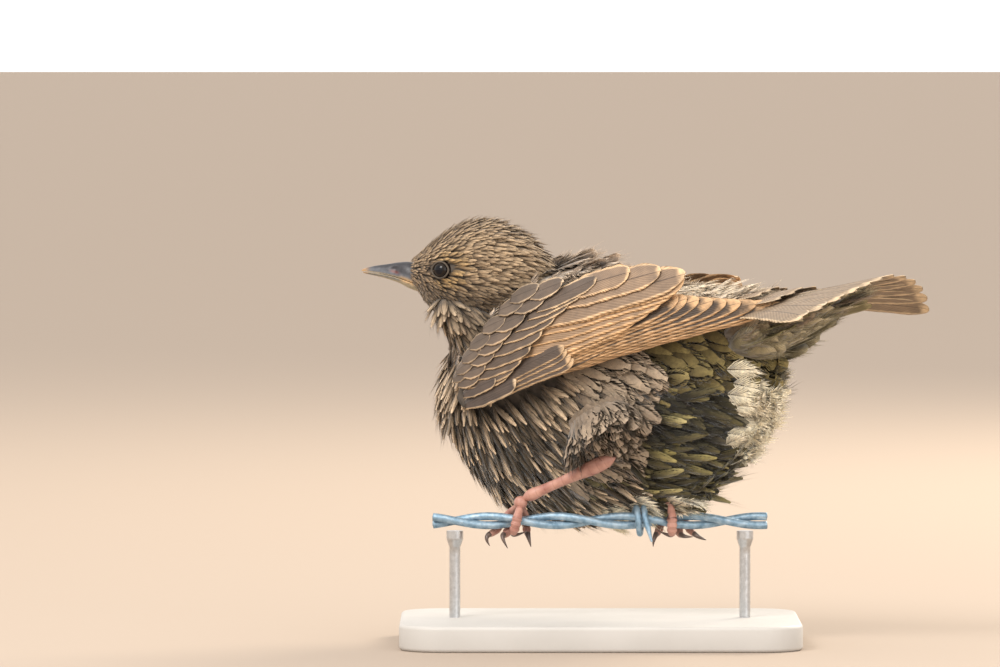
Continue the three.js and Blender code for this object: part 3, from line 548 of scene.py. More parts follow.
# Contour feathers
def ringHalf(t):
    # half breadth of a feather: opens as a quarter sine, then closes as an ellipse at its round end
    opening = 0.28 + 0.72 * np.sin(np.clip(t / 0.55, 0, 1) * np.pi / 2)
    return opening * np.sqrt(np.clip(1 - (np.clip(t - 0.5, 0, None) / 0.49) ** 2, 0, 1))


def featherTemplate(barbs, rings, reach, vane=True, body=0.82):
    # a lens-shaped vane of four-point rings with short barbs past its rim; down is long loose barbs alone
    c, t, h, kind, faces4, faces3 = [], [], [], [], [], []
    ends = np.linspace(0, 1, rings) ** 0.8 * 0.97
    if vane:
        for k in range(rings):
            half = body * ringHalf(ends[k])
            c += [-half, 0, half, 0]
            t += [ends[k]] * 4
            h += [0, 0.5, 0, -0.5]
            kind += [0] * 4
        for k in range(rings - 1):
            faces4 += [[k * 4 + j, (k + 1) * 4 + j, (k + 1) * 4 + (j + 1) % 4, k * 4 + (j + 1) % 4]
                       for j in range(4)]
        e = (rings - 1) * 4
        faces4 += [[0, 1, 2, 3], [e + 3, e + 2, e + 1, e]]
    for b in range(barbs):
        f = (b + 0.5) / barbs
        side = -1 if f < 0.5 else 1
        g = abs(2 * f - 1)
        if vane:
            at = 0.96 - 0.62 * g
            start = np.array([side * ringHalf(at) * body * 0.6, at - 0.12])
            end = np.array([side * (ringHalf(at) * body + (1.3 - 0.5 * g) * reach * g),
                            at + reach * (1 - 0.3 * g)])
            wide = 0.036
        else:
            start = np.array([0.04 * side, 0.12 + 0.5 * (1 - g)])
            end = np.array([side * (0.1 + 0.9 * math.sin(g * 1.5)), 1.0 - 0.5 * g ** 1.5])
            wide = 0.055
        middle = start * 0.45 + end * 0.55 + np.array([side * 0.1 * g, -0.015]) * (0 if vane else 1)
        across = np.array([-(end - start)[1], (end - start)[0]])
        across = across / np.linalg.norm(across) * wide
        base = len(c)
        for point, broad in ((start, 0.9), (middle, 1.0))[:1 if vane else 2]:
            c += [point[0] + across[0] * broad * m for m in (-1, 1, 0)]
            t += [point[1] + across[1] * broad * m * 0.5 for m in (-1, 1, 0)]
            h += [0.05, 0.05, 0.6]
            kind += [1] * 3
        last = len(c) - 3
        c.append(end[0])
        t.append(end[1])
        h.append(0.15)
        kind.append(2)
        if not vane:
            faces4 += [[base + j, base + (j + 1) % 3, base + 3 + (j + 1) % 3, base + 3 + j]
                       for j in range(3)]
        faces3 += [[last + j, last + (j + 1) % 3, last + 3] for j in range(3)]
        faces3.append([base + 2, base + 1, base])
    arrays = [np.array(v, float) for v in (c, t, h, kind)]
    return arrays, np.array(faces4).reshape(-1, 4).astype(int), np.array(faces3)


templates = {
    "fine": featherTemplate(7, 4, 0.3), "narrow": featherTemplate(16, 5, 0.34),
    "soft": featherTemplate(34, 6, 0.26), "down": featherTemplate(18, 2, 0.2, False)}


def grow(template, p, d, n, length, width, curl, tint, tipTint, patch, ragged=0.06, cup=0.3, thick=0.14,
         tipFrom=0.55, rootShade=0.4):
    # a feather's points: root + way * run + side * across + normal * rise, the rise a parabola by its curl
    (c, t, h, kind), f4, f3 = templates[template]
    count, m = len(p), len(c)
    side = np.cross(n, d)
    loose = np.where(kind == 2, 1.0, np.where(kind == 1, 0.15, 0.3))[None]
    jc = c[None] + loose * rng.normal(0, ragged, (count, m))
    jt = t[None] + np.where(kind == 2, 0.7, 0.0)[None] * rng.normal(0, ragged, (count, m))
    jh = h[None] + np.where(kind == 2, 0.9, 0.0)[None] * rng.normal(0, 1, (count, m))
    far, broad, bend = length[:, None], width[:, None], curl[:, None]
    run = far * (jt - bend ** 2 * jt ** 3 / 6)
    rise = far * bend * jt ** 2 / 2 - cup * broad * 0.25 * jc ** 2 + jh * thick
    verts = (p[:, None] + d[:, None] * run[..., None] + side[:, None] * (jc * broad / 2)[..., None]
             + n[:, None] * rise[..., None]).reshape(-1, 3)
    offset = (np.arange(count) * m)[:, None, None]
    quads, tris = (f4[None] + offset).reshape(-1, 4), (f3[None] + offset).reshape(-1, 3)
    reach = np.maximum(jt, 0.9 * np.abs(jc) * (jt > 0.2))
    blend = smooth(tipFrom, 1.0, reach)[..., None]
    shade = (rootShade + (1 - rootShade) * smooth(0.1, 0.7, jt))[..., None]
    streak = (1 + rng.normal(0, 0.07, (count, m)))[..., None]
    colour = (tint[:, None] * (1 - blend) + tipTint[:, None] * blend) * shade * np.clip(streak, 0.75, 1.3)
    bake = patch[:, None] + 0.0015 * np.stack([np.clip(jc, -1, 1), np.clip(jt, 0, 1) * 2 - 1], -1)
    # shaded softly: the coat's normal above, its opposite below, turned out at the rim and on at the tip
    above = np.where(kind == 0, np.where(h < 0, -0.9, np.where(h > 0, 1.0, 0.5)), 0.6)[None, :, None]
    soft = unit(n[:, None] * above + side[:, None] * (0.75 * jc)[..., None]
                + d[:, None] * (0.7 * jt - 0.2)[..., None])
    vane = np.stack([np.abs(jc), jt], -1)
    return (verts, quads, tris, np.clip(colour, 0, 1).reshape(-1, 3), bake.reshape(-1, 2),
            soft.reshape(-1, 3), vane.reshape(-1, 2))


def scatter(fn, tries, density, sMin=0.0, sMax=1.0):
    # a three-way golden sequence, thinned by area and by the wanted density per square millimetre
    golden = 1.2207440846057596
    k = np.arange(1, tries + 1)
    u, v, w = [(0.5 + k * golden ** -i) % 1 for i in (1, 2, 3)]
    s, a = sMin + (sMax - sMin) * u, 2 * np.pi * v
    p, n, flow, area = frames(fn, s, a)
    cell = area / (4e-6) * (sMax - sMin) * 2 * np.pi / tries  # area that one try stands for
    want = density(s, a, p) * cell
    if want.max() > 1:
        print("  scatter wants more tries", round(float(want.max()), 2))
    keep = w < want
    return s[keep], a[keep], p[keep], n[keep], flow[keep]


def evenly(spacing):
    # the same density everywhere, for feathers this many millimetres apart
    return lambda s, a, p: np.full(len(s), 1 / spacing ** 2)


def patchOf(s, a, corner, size):
    # each feather's place in the baked sheet, set by where its root is
    return np.stack([corner[0] + size[0] * a / (2 * np.pi), corner[1] + size[1] * s], -1)


def toBody(p):
    q = p - bodyPoint(0, 0, 0)
    return q @ rearward, q @ leftward, q[:, 2]


def insideTorso(p, margin=0.5):
    a, b, z = toBody(p)
    fa, fz, da, dz = torsoAxis()
    st = (a - fa) * da + (z - fz) * dz
    h = -(a - fa) * dz + (z - fz) * da
    table = through(torsoRows, np.linspace(0, 1, 400))
    up, down, half = [np.interp(st, table[:, 0], table[:, i], left=0, right=0) for i in (1, 2, 3)]
    reach = np.where(h > 0, up, down)
    sn = np.clip(h / np.maximum(reach, 1e-3), -1, 1)
    narrow = 1 - np.where(sn > 0, 0.2, -0.14) * sn
    r = (h / np.maximum(reach - margin, 0.1)) ** 2 + (b / np.maximum(half * narrow - margin, 0.1)) ** 2
    return (r < 1) & (half > 1)


def toHead(p):
    c, s = math.cos(head["yaw"]), math.sin(head["yaw"])
    q = p - headPoint(0, 0, 0)
    ax, up0 = q @ np.array([c, -s, 0]), q[:, 2]
    cp, sp = math.cos(head["pitch"]), math.sin(head["pitch"])
    return ax * cp - up0 * sp, q @ np.array([-s, -c, 0]), ax * sp + up0 * cp


def insideHead(p, margin=0.5):
    a, b, h = toHead(p)
    table = through(headRows, np.linspace(0, 1, 400))
    up, down, half = [np.interp(a, table[:, 0], table[:, i], left=0, right=0) for i in (1, 2, 3)]
    reach = np.where(h > 0, up, down)
    return ((h / np.maximum(reach - margin, 0.1)) ** 2
            + (b / np.maximum(half - margin, 0.1)) ** 2 < 1) & (half > 1)


def insideNeck(p, margin=0.5):
    low, high, forward = neckLine()
    m = np.linalg.inv(np.stack([high - low, forward, leftward], axis=1))
    f, y, b = m @ (p - low).T
    table = through(neckRows, np.linspace(0, 1, 400))
    r = np.interp(f, table[:, 0], table[:, 1], left=0, right=0)
    return ((y / np.maximum(r - margin, 0.1)) ** 2
            + (b / np.maximum(0.92 * r - margin, 0.1)) ** 2 < 1) & (r > 1)


def toWing(p, side):
    a, b, z = toBody(p)
    d, up, out = wingFrame(side)
    q = np.stack([a, side * b, z], -1) - np.array(wing["wrist"])
    drop = wingDrop(side, np.clip(q @ d / wing["length"], 0, 1.05))
    q[..., 2] += drop
    x, y = q @ d, q @ up
    u = np.clip(x / wing["length"], 0, 1.05)
    return x, y, q @ out - wingBend(u, y)


def underWing(p, side, margin=2.0):
    x, y, h = toWing(p, side)
    low = np.interp(x, [0, 16, 34, 62, 104], [-4, -7, -6, -4, -2]) + margin
    high = np.interp(x, [0, 8, 15, 24, 36, 57, 70, 90, 104], [5, 10, 16, 22, 25, 21, 19, 13, 2]) - margin
    return (x > 1) & (x < 104) & (y > low) & (y < high) & (h < 3) & (h > -24)


# Colours of the plumage (linear light)
dark = np.array([0.055, 0.042, 0.034])
pale = np.array([0.62, 0.52, 0.4])


def mixTo(a, b, f):
    return a + (b - a) * np.asarray(f)[..., None]


def jitterFrame(d, n, turn, lean):
    # turn about the normal, then raise the way by the lean
    side = np.cross(n, d)
    d = d * np.cos(turn)[:, None] + side * np.sin(turn)[:, None]
    lean = lean[:, None]
    return d * np.cos(lean) + n * np.sin(lean), n * np.cos(lean) - d * np.sin(lean)


def flatten(flow, n):
    return unit(flow - n * (flow * n).sum(-1, keepdims=True))


coatPieces = {"count": 0, "faces": 0}


def addCoat(name, parts, replaces=(), soft=True):
    verts, quads, tris, colours, bake, normals, vanes = zip(*parts)
    counts = np.cumsum([0] + [len(v) for v in verts])
    quads, tris = [np.concatenate([f + start for f, start in zip(faces, counts)])
                   for faces in (quads, tris)]
    total = 2 * len(quads) + len(tris)
    coatPieces["count"] += 1
    coatPieces["faces"] += total
    print(name, "triangles", total)
    return makeMesh(name, np.concatenate(verts), [quads, tris], coatMat, True,
                    {"tint": np.concatenate(colours)},
                    {"OFBake": np.concatenate(bake), "vane": np.concatenate(vanes)},
                    replaces, np.concatenate(normals) if soft else None)


def ripples(p, size, seed):
    # soft patches from -1 to 1: three crossed sines of the position, about one patch per size
    k = 2 * np.pi / size
    x, y, z = p[:, 0] * k, p[:, 1] * k, p[:, 2] * k
    return (np.sin(x + 1.7 * np.sin(0.7 * z + seed)) + np.sin(y * 1.1 + 1.3 * np.sin(x * 0.8 + 2 * seed))
            + np.sin(z * 0.9 + 1.5 * np.sin(y * 0.6 + 3 * seed))) / 3


def shades(count, *colours):
    # a random mix of the colours, one row a feather
    weights = rng.dirichlet(np.full(len(colours), 0.45), count)
    return weights @ np.array(colours)


def rearAt(p):
    # how far back a root lies: along the body on the far side, across the picture on the near side
    ba, bb, _ = toBody(p)
    return np.where(bb > 0, p[:, 0] + 8, ba)


def torsoRegions(p):
    # how much a root belongs to breast, flank, belly and undertail, with wavy borders
    bz = toBody(p)[2]
    rear = rearAt(p) + 4 * ripples(p, 26, 1.0) + 3 * ripples(p, 9, 5.0)
    bz = bz + 4 * ripples(p, 22, 2.0)
    breast = (rear < -8) | ((rear < 12) & (bz < 12))
    flank = ~breast & (rear < 10 + 9 * smooth(30, 46, bz)) & (bz > 16)
    under = ~breast & ~flank & (bz > 43)
    belly = ~breast & ~flank & ~under
    return breast, flank, belly, under


def torsoCoat():
    # one scatter over the trunk, parted into tracts that each have their own feather
    spacing = {"breast": 1.95, "flank": 2.4, "belly": 2.3, "under": 3.1}

    def density(s, a, p):
        breast, flank, belly, under = torsoRegions(p)
        return 1 / np.select([breast, flank, belly, under], list(spacing.values())) ** 2
    s, a, p, n, along = scatter(torsoFn, 120000, density)
    hidden = insideHead(p) | insideNeck(p, 1.5) | underWing(p, 1) | underWing(p, -1)
    s, a, p, n, along = [v[~hidden] for v in (s, a, p, n, along)]
    ba, bb, bz = toBody(p)
    breast, flank, belly, under = torsoRegions(p)
    sn, count = np.sin(a), len(p)
    lower = smooth(0.45, -0.2, sn)
    # feathers run down on the breast, then rearward along the belly, and straight back on the mantle
    drop = lower * (1.35 - 1.05 * smooth(-34, 26, ba)) + 0.2 * lower
    front = smooth(0.05, 0.5, -(n @ rearward))
    drop = np.maximum(drop, 1.5 * front)
    back = (0.3 + 0.7 * smooth(-50, -10, ba)) * (1 - 0.9 * front)
    flow = rearward[None] * back[:, None] - upward[None] * drop[:, None]
    flat = flatten(flow + (0.25 * (1 - front))[:, None] * along, n)
    patch = patchOf(s, a, (0.02, 0.02), (0.46, 0.6))
    clump = ripples(p, 13, 4.0)
    rear = rearAt(p)
    settings = {
        "breast": {"where": breast, "template": "narrow", "length": (7.5, 12.5), "width": (0.28, 0.38),
                   "turn": 0.15, "lean": 0.13, "curl": -0.14, "depth": 2.3, "ragged": 0.1, "tipFrom": 0.4,
                   "rootShade": 0.22},
        "flank": {"where": flank, "template": "soft", "length": (10, 16), "width": (0.5, 0.68),
                  "turn": 0.16, "lean": 0.08, "curl": -0.12, "depth": 2.4, "ragged": 0.1, "tipFrom": 0.3,
                  "rootShade": 0.8},
        "belly": {"where": belly, "template": "narrow", "length": (11, 19), "width": (0.15, 0.24),
                  "turn": 0.24, "lean": 0.13, "curl": -0.28, "depth": 2.9, "ragged": 0.14, "tipFrom": 0.45,
                  "rootShade": 0.15},
        "under": {"where": under, "template": "soft", "length": (10, 14), "width": (0.6, 0.74),
                  "turn": 0.18, "lean": 0.08, "curl": -0.24, "depth": 2.6, "ragged": 0.06, "tipFrom": 0.6,
                  "rootShade": 0.3}}
    for name, v in settings.items():
        w = v["where"]
        k = int(w.sum())
        d, nn = jitterFrame(flat[w], n[w], rng.normal(0, v["turn"], k),
                            np.abs(rng.normal(v["lean"], 0.05, k)))
        length = rng.uniform(*v["length"], k)
        width = length * rng.uniform(*v["width"], k)
        curl = rng.normal(v["curl"], 0.09, k)
        if name == "breast":
            base = shades(k, (0.12, 0.088, 0.06), (0.3, 0.225, 0.16), (0.2, 0.155, 0.11))
            tip = shades(k, (0.6, 0.48, 0.35), (0.3, 0.23, 0.165), (0.46, 0.37, 0.28))
            tip = mixTo(tip, np.array([0.72, 0.6, 0.46]), 0.7 * smooth(-34, -50, ba[w]))
            # the lower breast is parted into pale streaks over dark roots; the near-black roots and dark
            # feathers are partly their own colour, partly painted shade in the partings
            low = smooth(50, 30, bz[w]) * smooth(-54, -40, ba[w])
            shut = rng.uniform(0, 1, k) < 0.58
            base = mixTo(base, np.array([0.03, 0.025, 0.018]), 0.8 * low)
            tip = mixTo(tip, np.array([0.07, 0.057, 0.04]), 0.85 * low * shut + 0.15 * low)
            tip = mixTo(tip, np.array([0.85, 0.7, 0.52]), 0.65 * low * ~shut)
            width = width * (1 - 0.36 * low)
            length = length * (1 + 0.15 * low)
        elif name == "flank":
            base = shades(k, (0.3, 0.24, 0.18), (0.34, 0.275, 0.21), (0.26, 0.205, 0.155))
            tip = shades(k, (0.42, 0.345, 0.265), (0.38, 0.31, 0.24), (0.48, 0.4, 0.31))
            lit = 0.68 + 0.1 * smooth(26, 46, bz[w])
            base, tip = base * lit[:, None], tip * lit[:, None]
        elif name == "belly":
            # hollows between parted clumps, painted near black as shade, and pale down where the outline
            # ends
            shadedHollow = smooth(0.6, 0.1, clump[w]) * smooth(6, 14, rear[w]) * smooth(50, 42, rear[w])
            shadedHollow = shadedHollow * smooth(6, 14, bz[w])
            shut = rng.uniform(0, 1, k) < 0.6
            base = shades(k, (0.05, 0.043, 0.022), (0.09, 0.08, 0.035), (0.03, 0.025, 0.015))
            tip = shades(k, (0.5, 0.45, 0.23), (0.22, 0.195, 0.07), (0.34, 0.3, 0.13))
            tip = mixTo(tip, np.array([0.06, 0.052, 0.026]), 0.85 * shut)
            # painted shade: roots and tips in the hollows go near black
            base = mixTo(base, np.array([0.01, 0.01, 0.009]), 0.95 * shadedHollow)
            tip = mixTo(tip, np.array([0.02, 0.02, 0.015]), 0.9 * shadedHollow * (rng.uniform(0, 1, k) < 0.8))
            edge = smooth(41, 52, rear[w] + 5 * ripples(p[w], 6, 9.0))
            base = mixTo(base, np.array([0.42, 0.39, 0.29]), 0.7 * edge)
            tip = mixTo(tip, np.array([0.8, 0.75, 0.62]), 0.85 * edge)
            length = length * (1 - 0.3 * edge)
        else:
            # the undertail's dark olive is partly the feathers' own brown, partly painted shade of the
            # underside tinged green by reflected light
            base = shades(k, (0.11, 0.09, 0.036), (0.15, 0.125, 0.055), (0.08, 0.064, 0.028))
            tip = shades(k, (0.24, 0.2, 0.09), (0.17, 0.145, 0.06))
        sunk = np.full(k, v["depth"])
        if name == "belly":
            sunk = sunk + 0.5 * shadedHollow - 0.5
            length = length * (1 - 0.35 * shadedHollow)
        root = p[w] - n[w] * sunk[:, None]
        for word, part in (("Left", bb[w] > 0), ("Right", bb[w] <= 0)):
            rows = [x[part] for x in (root, d, nn, length, width, curl, base, tip, patch[w])]
            made = grow(v["template"], *rows, v["ragged"], tipFrom=v["tipFrom"], rootShade=v["rootShade"])
            addCoat(name + word + "Coat", [made])
    # loose pale down at the rear edge and along the belly's keel
    rim = (bz < 50) & ((rear + 4 * ripples(p, 6, 9.0) > 46) | ((ba > 58) & (bz < 44)))
    keel = (bz < 5) & (rear > 2) & (rng.uniform(0, 1, count) < 0.4)
    loose = (rim & (rng.uniform(0, 1, count) < 0.8)) | keel
    k = int(loose.sum())
    d, nn = jitterFrame(flat[loose], n[loose], rng.normal(0, 0.3, k), rng.uniform(0.2, 0.5, k))
    length = rng.uniform(9, 13, k) * (1 + 0.25 * keel[loose])
    base = shades(k, (0.6, 0.56, 0.43), (0.75, 0.7, 0.57))
    tip = shades(k, (0.95, 0.89, 0.76), (0.82, 0.77, 0.6))
    curl = rng.normal(-0.1, 0.2, k)
    down = grow("down", p[loose] - n[loose] * 2.5, d, nn, length, length * 0.6, curl, base, tip,
                patch[loose], 0.1, rootShade=0.7)
    addCoat("downCoat", [down], soft=False)


def headCoat():
    settings = {"face": 0.86, "crown": 1.42, "tries": 110000}

    def density(s, a, p):
        spacing = settings["face"] + (settings["crown"] - settings["face"]) * smooth(0.1, 0.6, s)
        return 1 / spacing ** 2
    s, a, p, n, flow = scatter(headFn, settings["tries"], density, 0.06, 1)
    keep = ~(insideTorso(p, 2) | insideNeck(p, 2.5))
    for side in (1, -1):
        c, axis = eyeCentre(side), eyeAxis(side)
        q = p - c
        off = q - (q @ axis)[:, None] * axis
        keep &= (np.linalg.norm(off, axis=1) > 2.75) | ((q @ axis) < 0)
    # bare where the bill meets the face
    st = through(headRows, s)[:, 0]
    keep &= ~((np.abs(np.cos(a)) > 0.6) & (st < 1.6))
    s, a, p, n, flow, st = [v[keep] for v in (s, a, p, n, flow, st)]
    count = len(p)
    sn = np.sin(a)
    d = flatten(flow - 0.35 * upward * smooth(0.2, -0.6, sn)[:, None], n)
    size = smooth(0.05, 0.75, s)
    crown = smooth(0.3, 0.8, sn) * smooth(0.35, 0.7, s)
    lean = np.abs(rng.normal(0.13 + 0.1 * crown, 0.04, count))
    d, nn = jitterFrame(d, n, rng.normal(0, 0.1, count), lean)
    length = (2.4 + 4.8 * size) * (1 - 0.3 * smooth(-0.3, -0.9, sn)) * rng.uniform(0.75, 1.2, count)
    width = (0.66 + 0.95 * size) * rng.uniform(0.85, 1.15, count)
    curl = rng.normal(-0.05, 0.08, count) + 0.1 * crown
    root = p - n * (0.45 + 0.85 * size)[:, None]
    base = shades(count, (0.17, 0.122, 0.08), (0.29, 0.21, 0.14), (0.11, 0.08, 0.055))
    tip = shades(count, (0.52, 0.4, 0.27), (0.36, 0.275, 0.185), (0.24, 0.18, 0.12))
    # dark lores before the eye, pale chin, buff patch behind and below the eye
    stretch = np.array([0.7, 0.8, 1.6])
    ahead = np.minimum(*[np.linalg.norm((p - eyeCentre(side) - eyeForward() * 5.6) * stretch, axis=1)
                         for side in (1, -1)])
    near = np.minimum(*[np.linalg.norm(p - eyeCentre(side), axis=1) for side in (1, -1)])
    lore = smooth(4.6, 1.8, ahead)
    base = mixTo(base, dark, 0.85 * lore)
    tip = mixTo(tip, dark * 1.6, 0.8 * lore)
    ring = smooth(7.5, 3.5, near) * (1 - lore)
    tip = mixTo(tip, np.array([0.46, 0.31, 0.13]), 0.65 * ring)
    base = mixTo(base, np.array([0.27, 0.18, 0.08]), 0.5 * ring)
    # painted shade: the lower face and throat are darkened under the head
    throatShade = smooth(0.1, -0.5, sn) * smooth(0.1, 0.35, s)
    base = base * (1 - 0.65 * throatShade)[:, None]
    tip = tip * (1 - 0.52 * throatShade)[:, None]
    chin = smooth(-0.5, -0.95, sn) * smooth(0.6, 0.15, s)
    base = mixTo(base, pale * 0.7, 0.5 * chin)
    tip = mixTo(tip, pale, 0.55 * chin)
    patch = patchOf(s, a, (0.52, 0.02), (0.46, 0.4))
    for name, part in (("faceCoat", s < 0.42), ("crownCoat", s >= 0.42)):
        rows = [x[part] for x in (root, d, nn, length, width, curl, base, tip, patch)]
        made = grow("fine", *rows, ragged=0.08, thick=0.09, tipFrom=0.35, rootShade=0.35)
        addCoat(name, [made])


def eyeCentre(side):
    half = through(headRows, np.array([0.41]))[0, 3]
    return headPoint(eye["along"], side * (half - eye["radius"] * 0.58), eye["up"])


def eyeForward():
    return headPoint(-1, 0, 0) - headPoint(0, 0, 0)


def eyeAxis(side):
    turn = head["yaw"] + side * eye["forward"]
    return unit(np.array([-side * math.sin(turn), -side * math.cos(turn), 0.04]))


def neckCoat():
    settings = {"tries": 40000, "spacing": 1.75, "length": (6, 9.5), "width": (0.26, 0.34), "sunk": 2.0}
    s, a, p, n, _ = scatter(neckFn, settings["tries"], evenly(settings["spacing"]))
    keep = ~(insideTorso(p, 1.0) | insideHead(p, 1.0))
    s, a, p, n = [v[keep] for v in (s, a, p, n)]
    count = len(p)
    low, high, _ = neckLine()
    down = unit(low - high)
    front = smooth(-0.2, 0.7, np.sin(a))
    d = flatten(down[None] + rearward[None] * (0.8 * (1 - front))[:, None], n)
    d, nn = jitterFrame(d, n, rng.normal(0, 0.13, count), np.abs(rng.normal(0.09, 0.04, count)))
    length = rng.uniform(*settings["length"], count)
    base = shades(count, (0.13, 0.1, 0.07), (0.24, 0.185, 0.13), (0.19, 0.15, 0.11))
    tip = shades(count, (0.44, 0.35, 0.25), (0.32, 0.25, 0.18), (0.25, 0.19, 0.14))
    tip = mixTo(tip, pale, 0.2 * front)
    base = base * (0.55 + 0.45 * front)[:, None]
    tip = tip * (0.62 + 0.38 * front)[:, None]
    patch = patchOf(s, a, (0.52, 0.44), (0.46, 0.2))
    width = length * rng.uniform(*settings["width"], count)
    curl = rng.normal(-0.16, 0.08, count)
    made = grow("narrow", p - n * settings["sunk"], d, nn, length, width, curl, base, tip, patch, 0.09,
                tipFrom=0.35, rootShade=0.3)
    addCoat("neckCoat", [made])


def thighCoat():
    settings = {"tries": 22000, "spacing": 1.7, "longest": 13, "shorter": 8, "width": 0.55}
    parts = []
    for side, x0 in (("left", 0.52), ("right", 0.76)):
        fn = thighFn(side)
        s, a, p, n, flow = scatter(fn, settings["tries"], evenly(settings["spacing"]), 0.06, 0.99)
        keep = ~insideTorso(p, 1)
        s, a, p, n, flow = [v[keep] for v in (s, a, p, n, flow)]
        count = len(p)
        # they lie as on the flank, and only the cuff's turn to the heel
        lying = unit(n + 0.9 * leftward * (1 if side == "left" else -1))
        way = unit(rearward * 0.6 - upward * 0.75)
        toHeel = unit(legs[side]["heel"] + 9 * rearward - p)
        flow = flatten(way + (toHeel - way) * smooth(0.55, 0.9, s)[:, None], lying)
        d, nn = jitterFrame(flow, lying, rng.normal(0, 0.14, count), np.abs(rng.normal(0.05, 0.03, count)))
        length = settings["longest"] - settings["shorter"] * smooth(0.4, 1, s)
        length = length * rng.uniform(0.85, 1.15, count)
        base = shades(count, (0.24, 0.19, 0.145), (0.16, 0.125, 0.092))
        tip = shades(count, (0.33, 0.27, 0.21), (0.25, 0.2, 0.155))
        tip = mixTo(tip, np.array([0.66, 0.6, 0.5]), 0.75 * smooth(0.55, 0.9, s))
        patch = patchOf(s, a, (x0, 0.66), (0.22, 0.14))
        root = p - n * (thighDepth(s) - 0.1)[:, None]
        curl = rng.normal(-0.14, 0.06, count)
        parts.append(grow("soft", root, d, nn, length, length * settings["width"], curl, base, tip, patch,
                          0.09, tipFrom=0.3, rootShade=0.75))
    addCoat("thighCoat", parts)


def ventCoat():
    settings = {"tries": 24000, "spacing": 3.2, "length": (13, 17), "width": (0.55, 0.68), "sunk": 2.2}
    s, a, p, n, flow = scatter(ventFn, settings["tries"], evenly(settings["spacing"]), 0.12, 0.95)
    keep = ~insideTorso(p, 1.5)
    s, a, p, n, flow = [v[keep] for v in (s, a, p, n, flow)]
    count = len(p)
    under = smooth(0.3, -0.4, np.sin(a))
    d, nn = jitterFrame(flatten(flow, n), n, rng.normal(0, 0.12, count),
                        np.abs(rng.normal(0.1, 0.04, count)))
    length = rng.uniform(*settings["length"], count)
    base = shades(count, (0.24, 0.18, 0.13), (0.3, 0.23, 0.17))
    # the underside turns olive: partly the feathers' own buff, partly painted shade tinged green by
    # reflected light
    base = mixTo(base, np.array([0.21, 0.19, 0.11]), 0.85 * under)
    tip = shades(count, (0.42, 0.33, 0.24), (0.34, 0.27, 0.2))
    tip = mixTo(tip, np.array([0.46, 0.42, 0.29]), 0.8 * under)
    patch = patchOf(s, a, (0.02, 0.66), (0.46, 0.3))
    width = length * rng.uniform(*settings["width"], count)
    curl = rng.normal(-0.06, 0.06, count)
    made = grow("soft", p - n * settings["sunk"], d, nn, length, width, curl, base, tip, patch, 0.04,
                tipFrom=0.7)
    addCoat("ventCoat", [made], soft=False)


def mantleCoat():
    # loose feathers of the back, blown up over the wing's root; rows from the nape to the rump
    rowsCount, across = 19, 17
    i, j = np.meshgrid(np.arange(rowsCount), np.arange(across), indexing="ij")
    i, j = i.ravel(), j.ravel()
    side = (j + 0.5 * (i % 2) - across / 2 + 0.25) / (across / 2) + rng.normal(0, 0.04, i.size)
    s = 0.16 + 0.66 * i / (rowsCount - 1) + rng.normal(0, 0.008, i.size)
    a = np.pi / 2 - side * 1.05
    p, n, along, _ = frames(torsoFn, s, a)
    keep = ~insideHead(p, 1.0)
    s, a, p, n, along, side, i = [v[keep] for v in (s, a, p, n, along, side, i)]
    count = len(p)
    high = smooth(0.85, 0.1, np.abs(side)) * smooth(0.8, 0.3, s) * smooth(0.14, 0.34, s)
    rump = smooth(0.52, 0.68, s)
    flat = flatten(along + leftward * 0.1, n)
    base = shades(count, (0.2, 0.155, 0.12), (0.3, 0.24, 0.19))
    tip = shades(count, (0.52, 0.43, 0.35), (0.68, 0.58, 0.48), (0.42, 0.34, 0.27))
    base = mixTo(base, np.array([0.36, 0.3, 0.23]), 0.7 * rump)
    tip = mixTo(tip, np.array([0.62, 0.54, 0.43]), 0.7 * rump)
    patch = patchOf(s, a, (0.02, 0.02), (0.46, 0.6))
    parts = []
    for template, turn, lift, longer, broad in (("soft", 0.16, 0.12, 1.0, 0.6),
                                                ("down", 0.35, 0.22, 0.8, 0.75)):
        d, nn = jitterFrame(flat, n, rng.normal(0, turn, count),
                            lift + 0.24 * high + 0.16 * rump + np.abs(rng.normal(0, 0.06, count)))
        length = (13.5 + 4 * high) * rng.uniform(0.85, 1.1, count) * longer
        width = length * rng.uniform(0.92, 1.1, count) * broad
        curl = rng.normal(-0.1, 0.12, count)
        parts.append(grow(template, p - n * 2.6, d, nn, length, width, curl, base, tip, patch, 0.08,
                          cup=0.7, rootShade=0.3))
    looseTufts = [
        {"count": 80, "rows": (0.26, 0.52), "sides": (0.2, 0.75), "outward": 0.75, "rise": 0.42,
         "tone": np.array([0.54, 0.45, 0.36])},
        {"count": 110, "rows": (0.6, 0.88), "sides": (-0.2, 0.75), "outward": 0.1, "rise": 0.5,
         "tone": np.array([0.75, 0.66, 0.53])}]
    for t in looseTufts:
        k = t["count"]
        s, side = rng.uniform(*t["rows"], k), rng.uniform(*t["sides"], k)
        a = np.pi / 2 - side * 1.05
        p, n, along, _ = frames(torsoFn, s, a)
        clear = ~insideHead(p, 1.0)
        s, a, p, n, along = [v[clear] for v in (s, a, p, n, along)]
        k = len(p)
        flat = flatten(along + leftward * t["outward"], n)
        d, nn = jitterFrame(flat, n, rng.normal(0, 0.25, k), t["rise"] + rng.normal(0, 0.12, k))
        length = rng.uniform(11, 15, k)
        patch = patchOf(s, a, (0.02, 0.02), (0.46, 0.6))
        base = shades(k, 0.75 * t["tone"], 0.5 * t["tone"])
        tip = shades(k, t["tone"], 1.3 * t["tone"])
        curl = rng.normal(-0.42, 0.12, k)
        parts.append(grow("down", p - n * 2.4, d, nn, length, length * 0.6, curl, base, tip, patch, 0.1,
                          cup=0.6, rootShade=0.65))
    addCoat("mantleCoat", parts, soft=False)


for make in (torsoCoat, headCoat, neckCoat, thighCoat, ventCoat, mantleCoat):
    make()


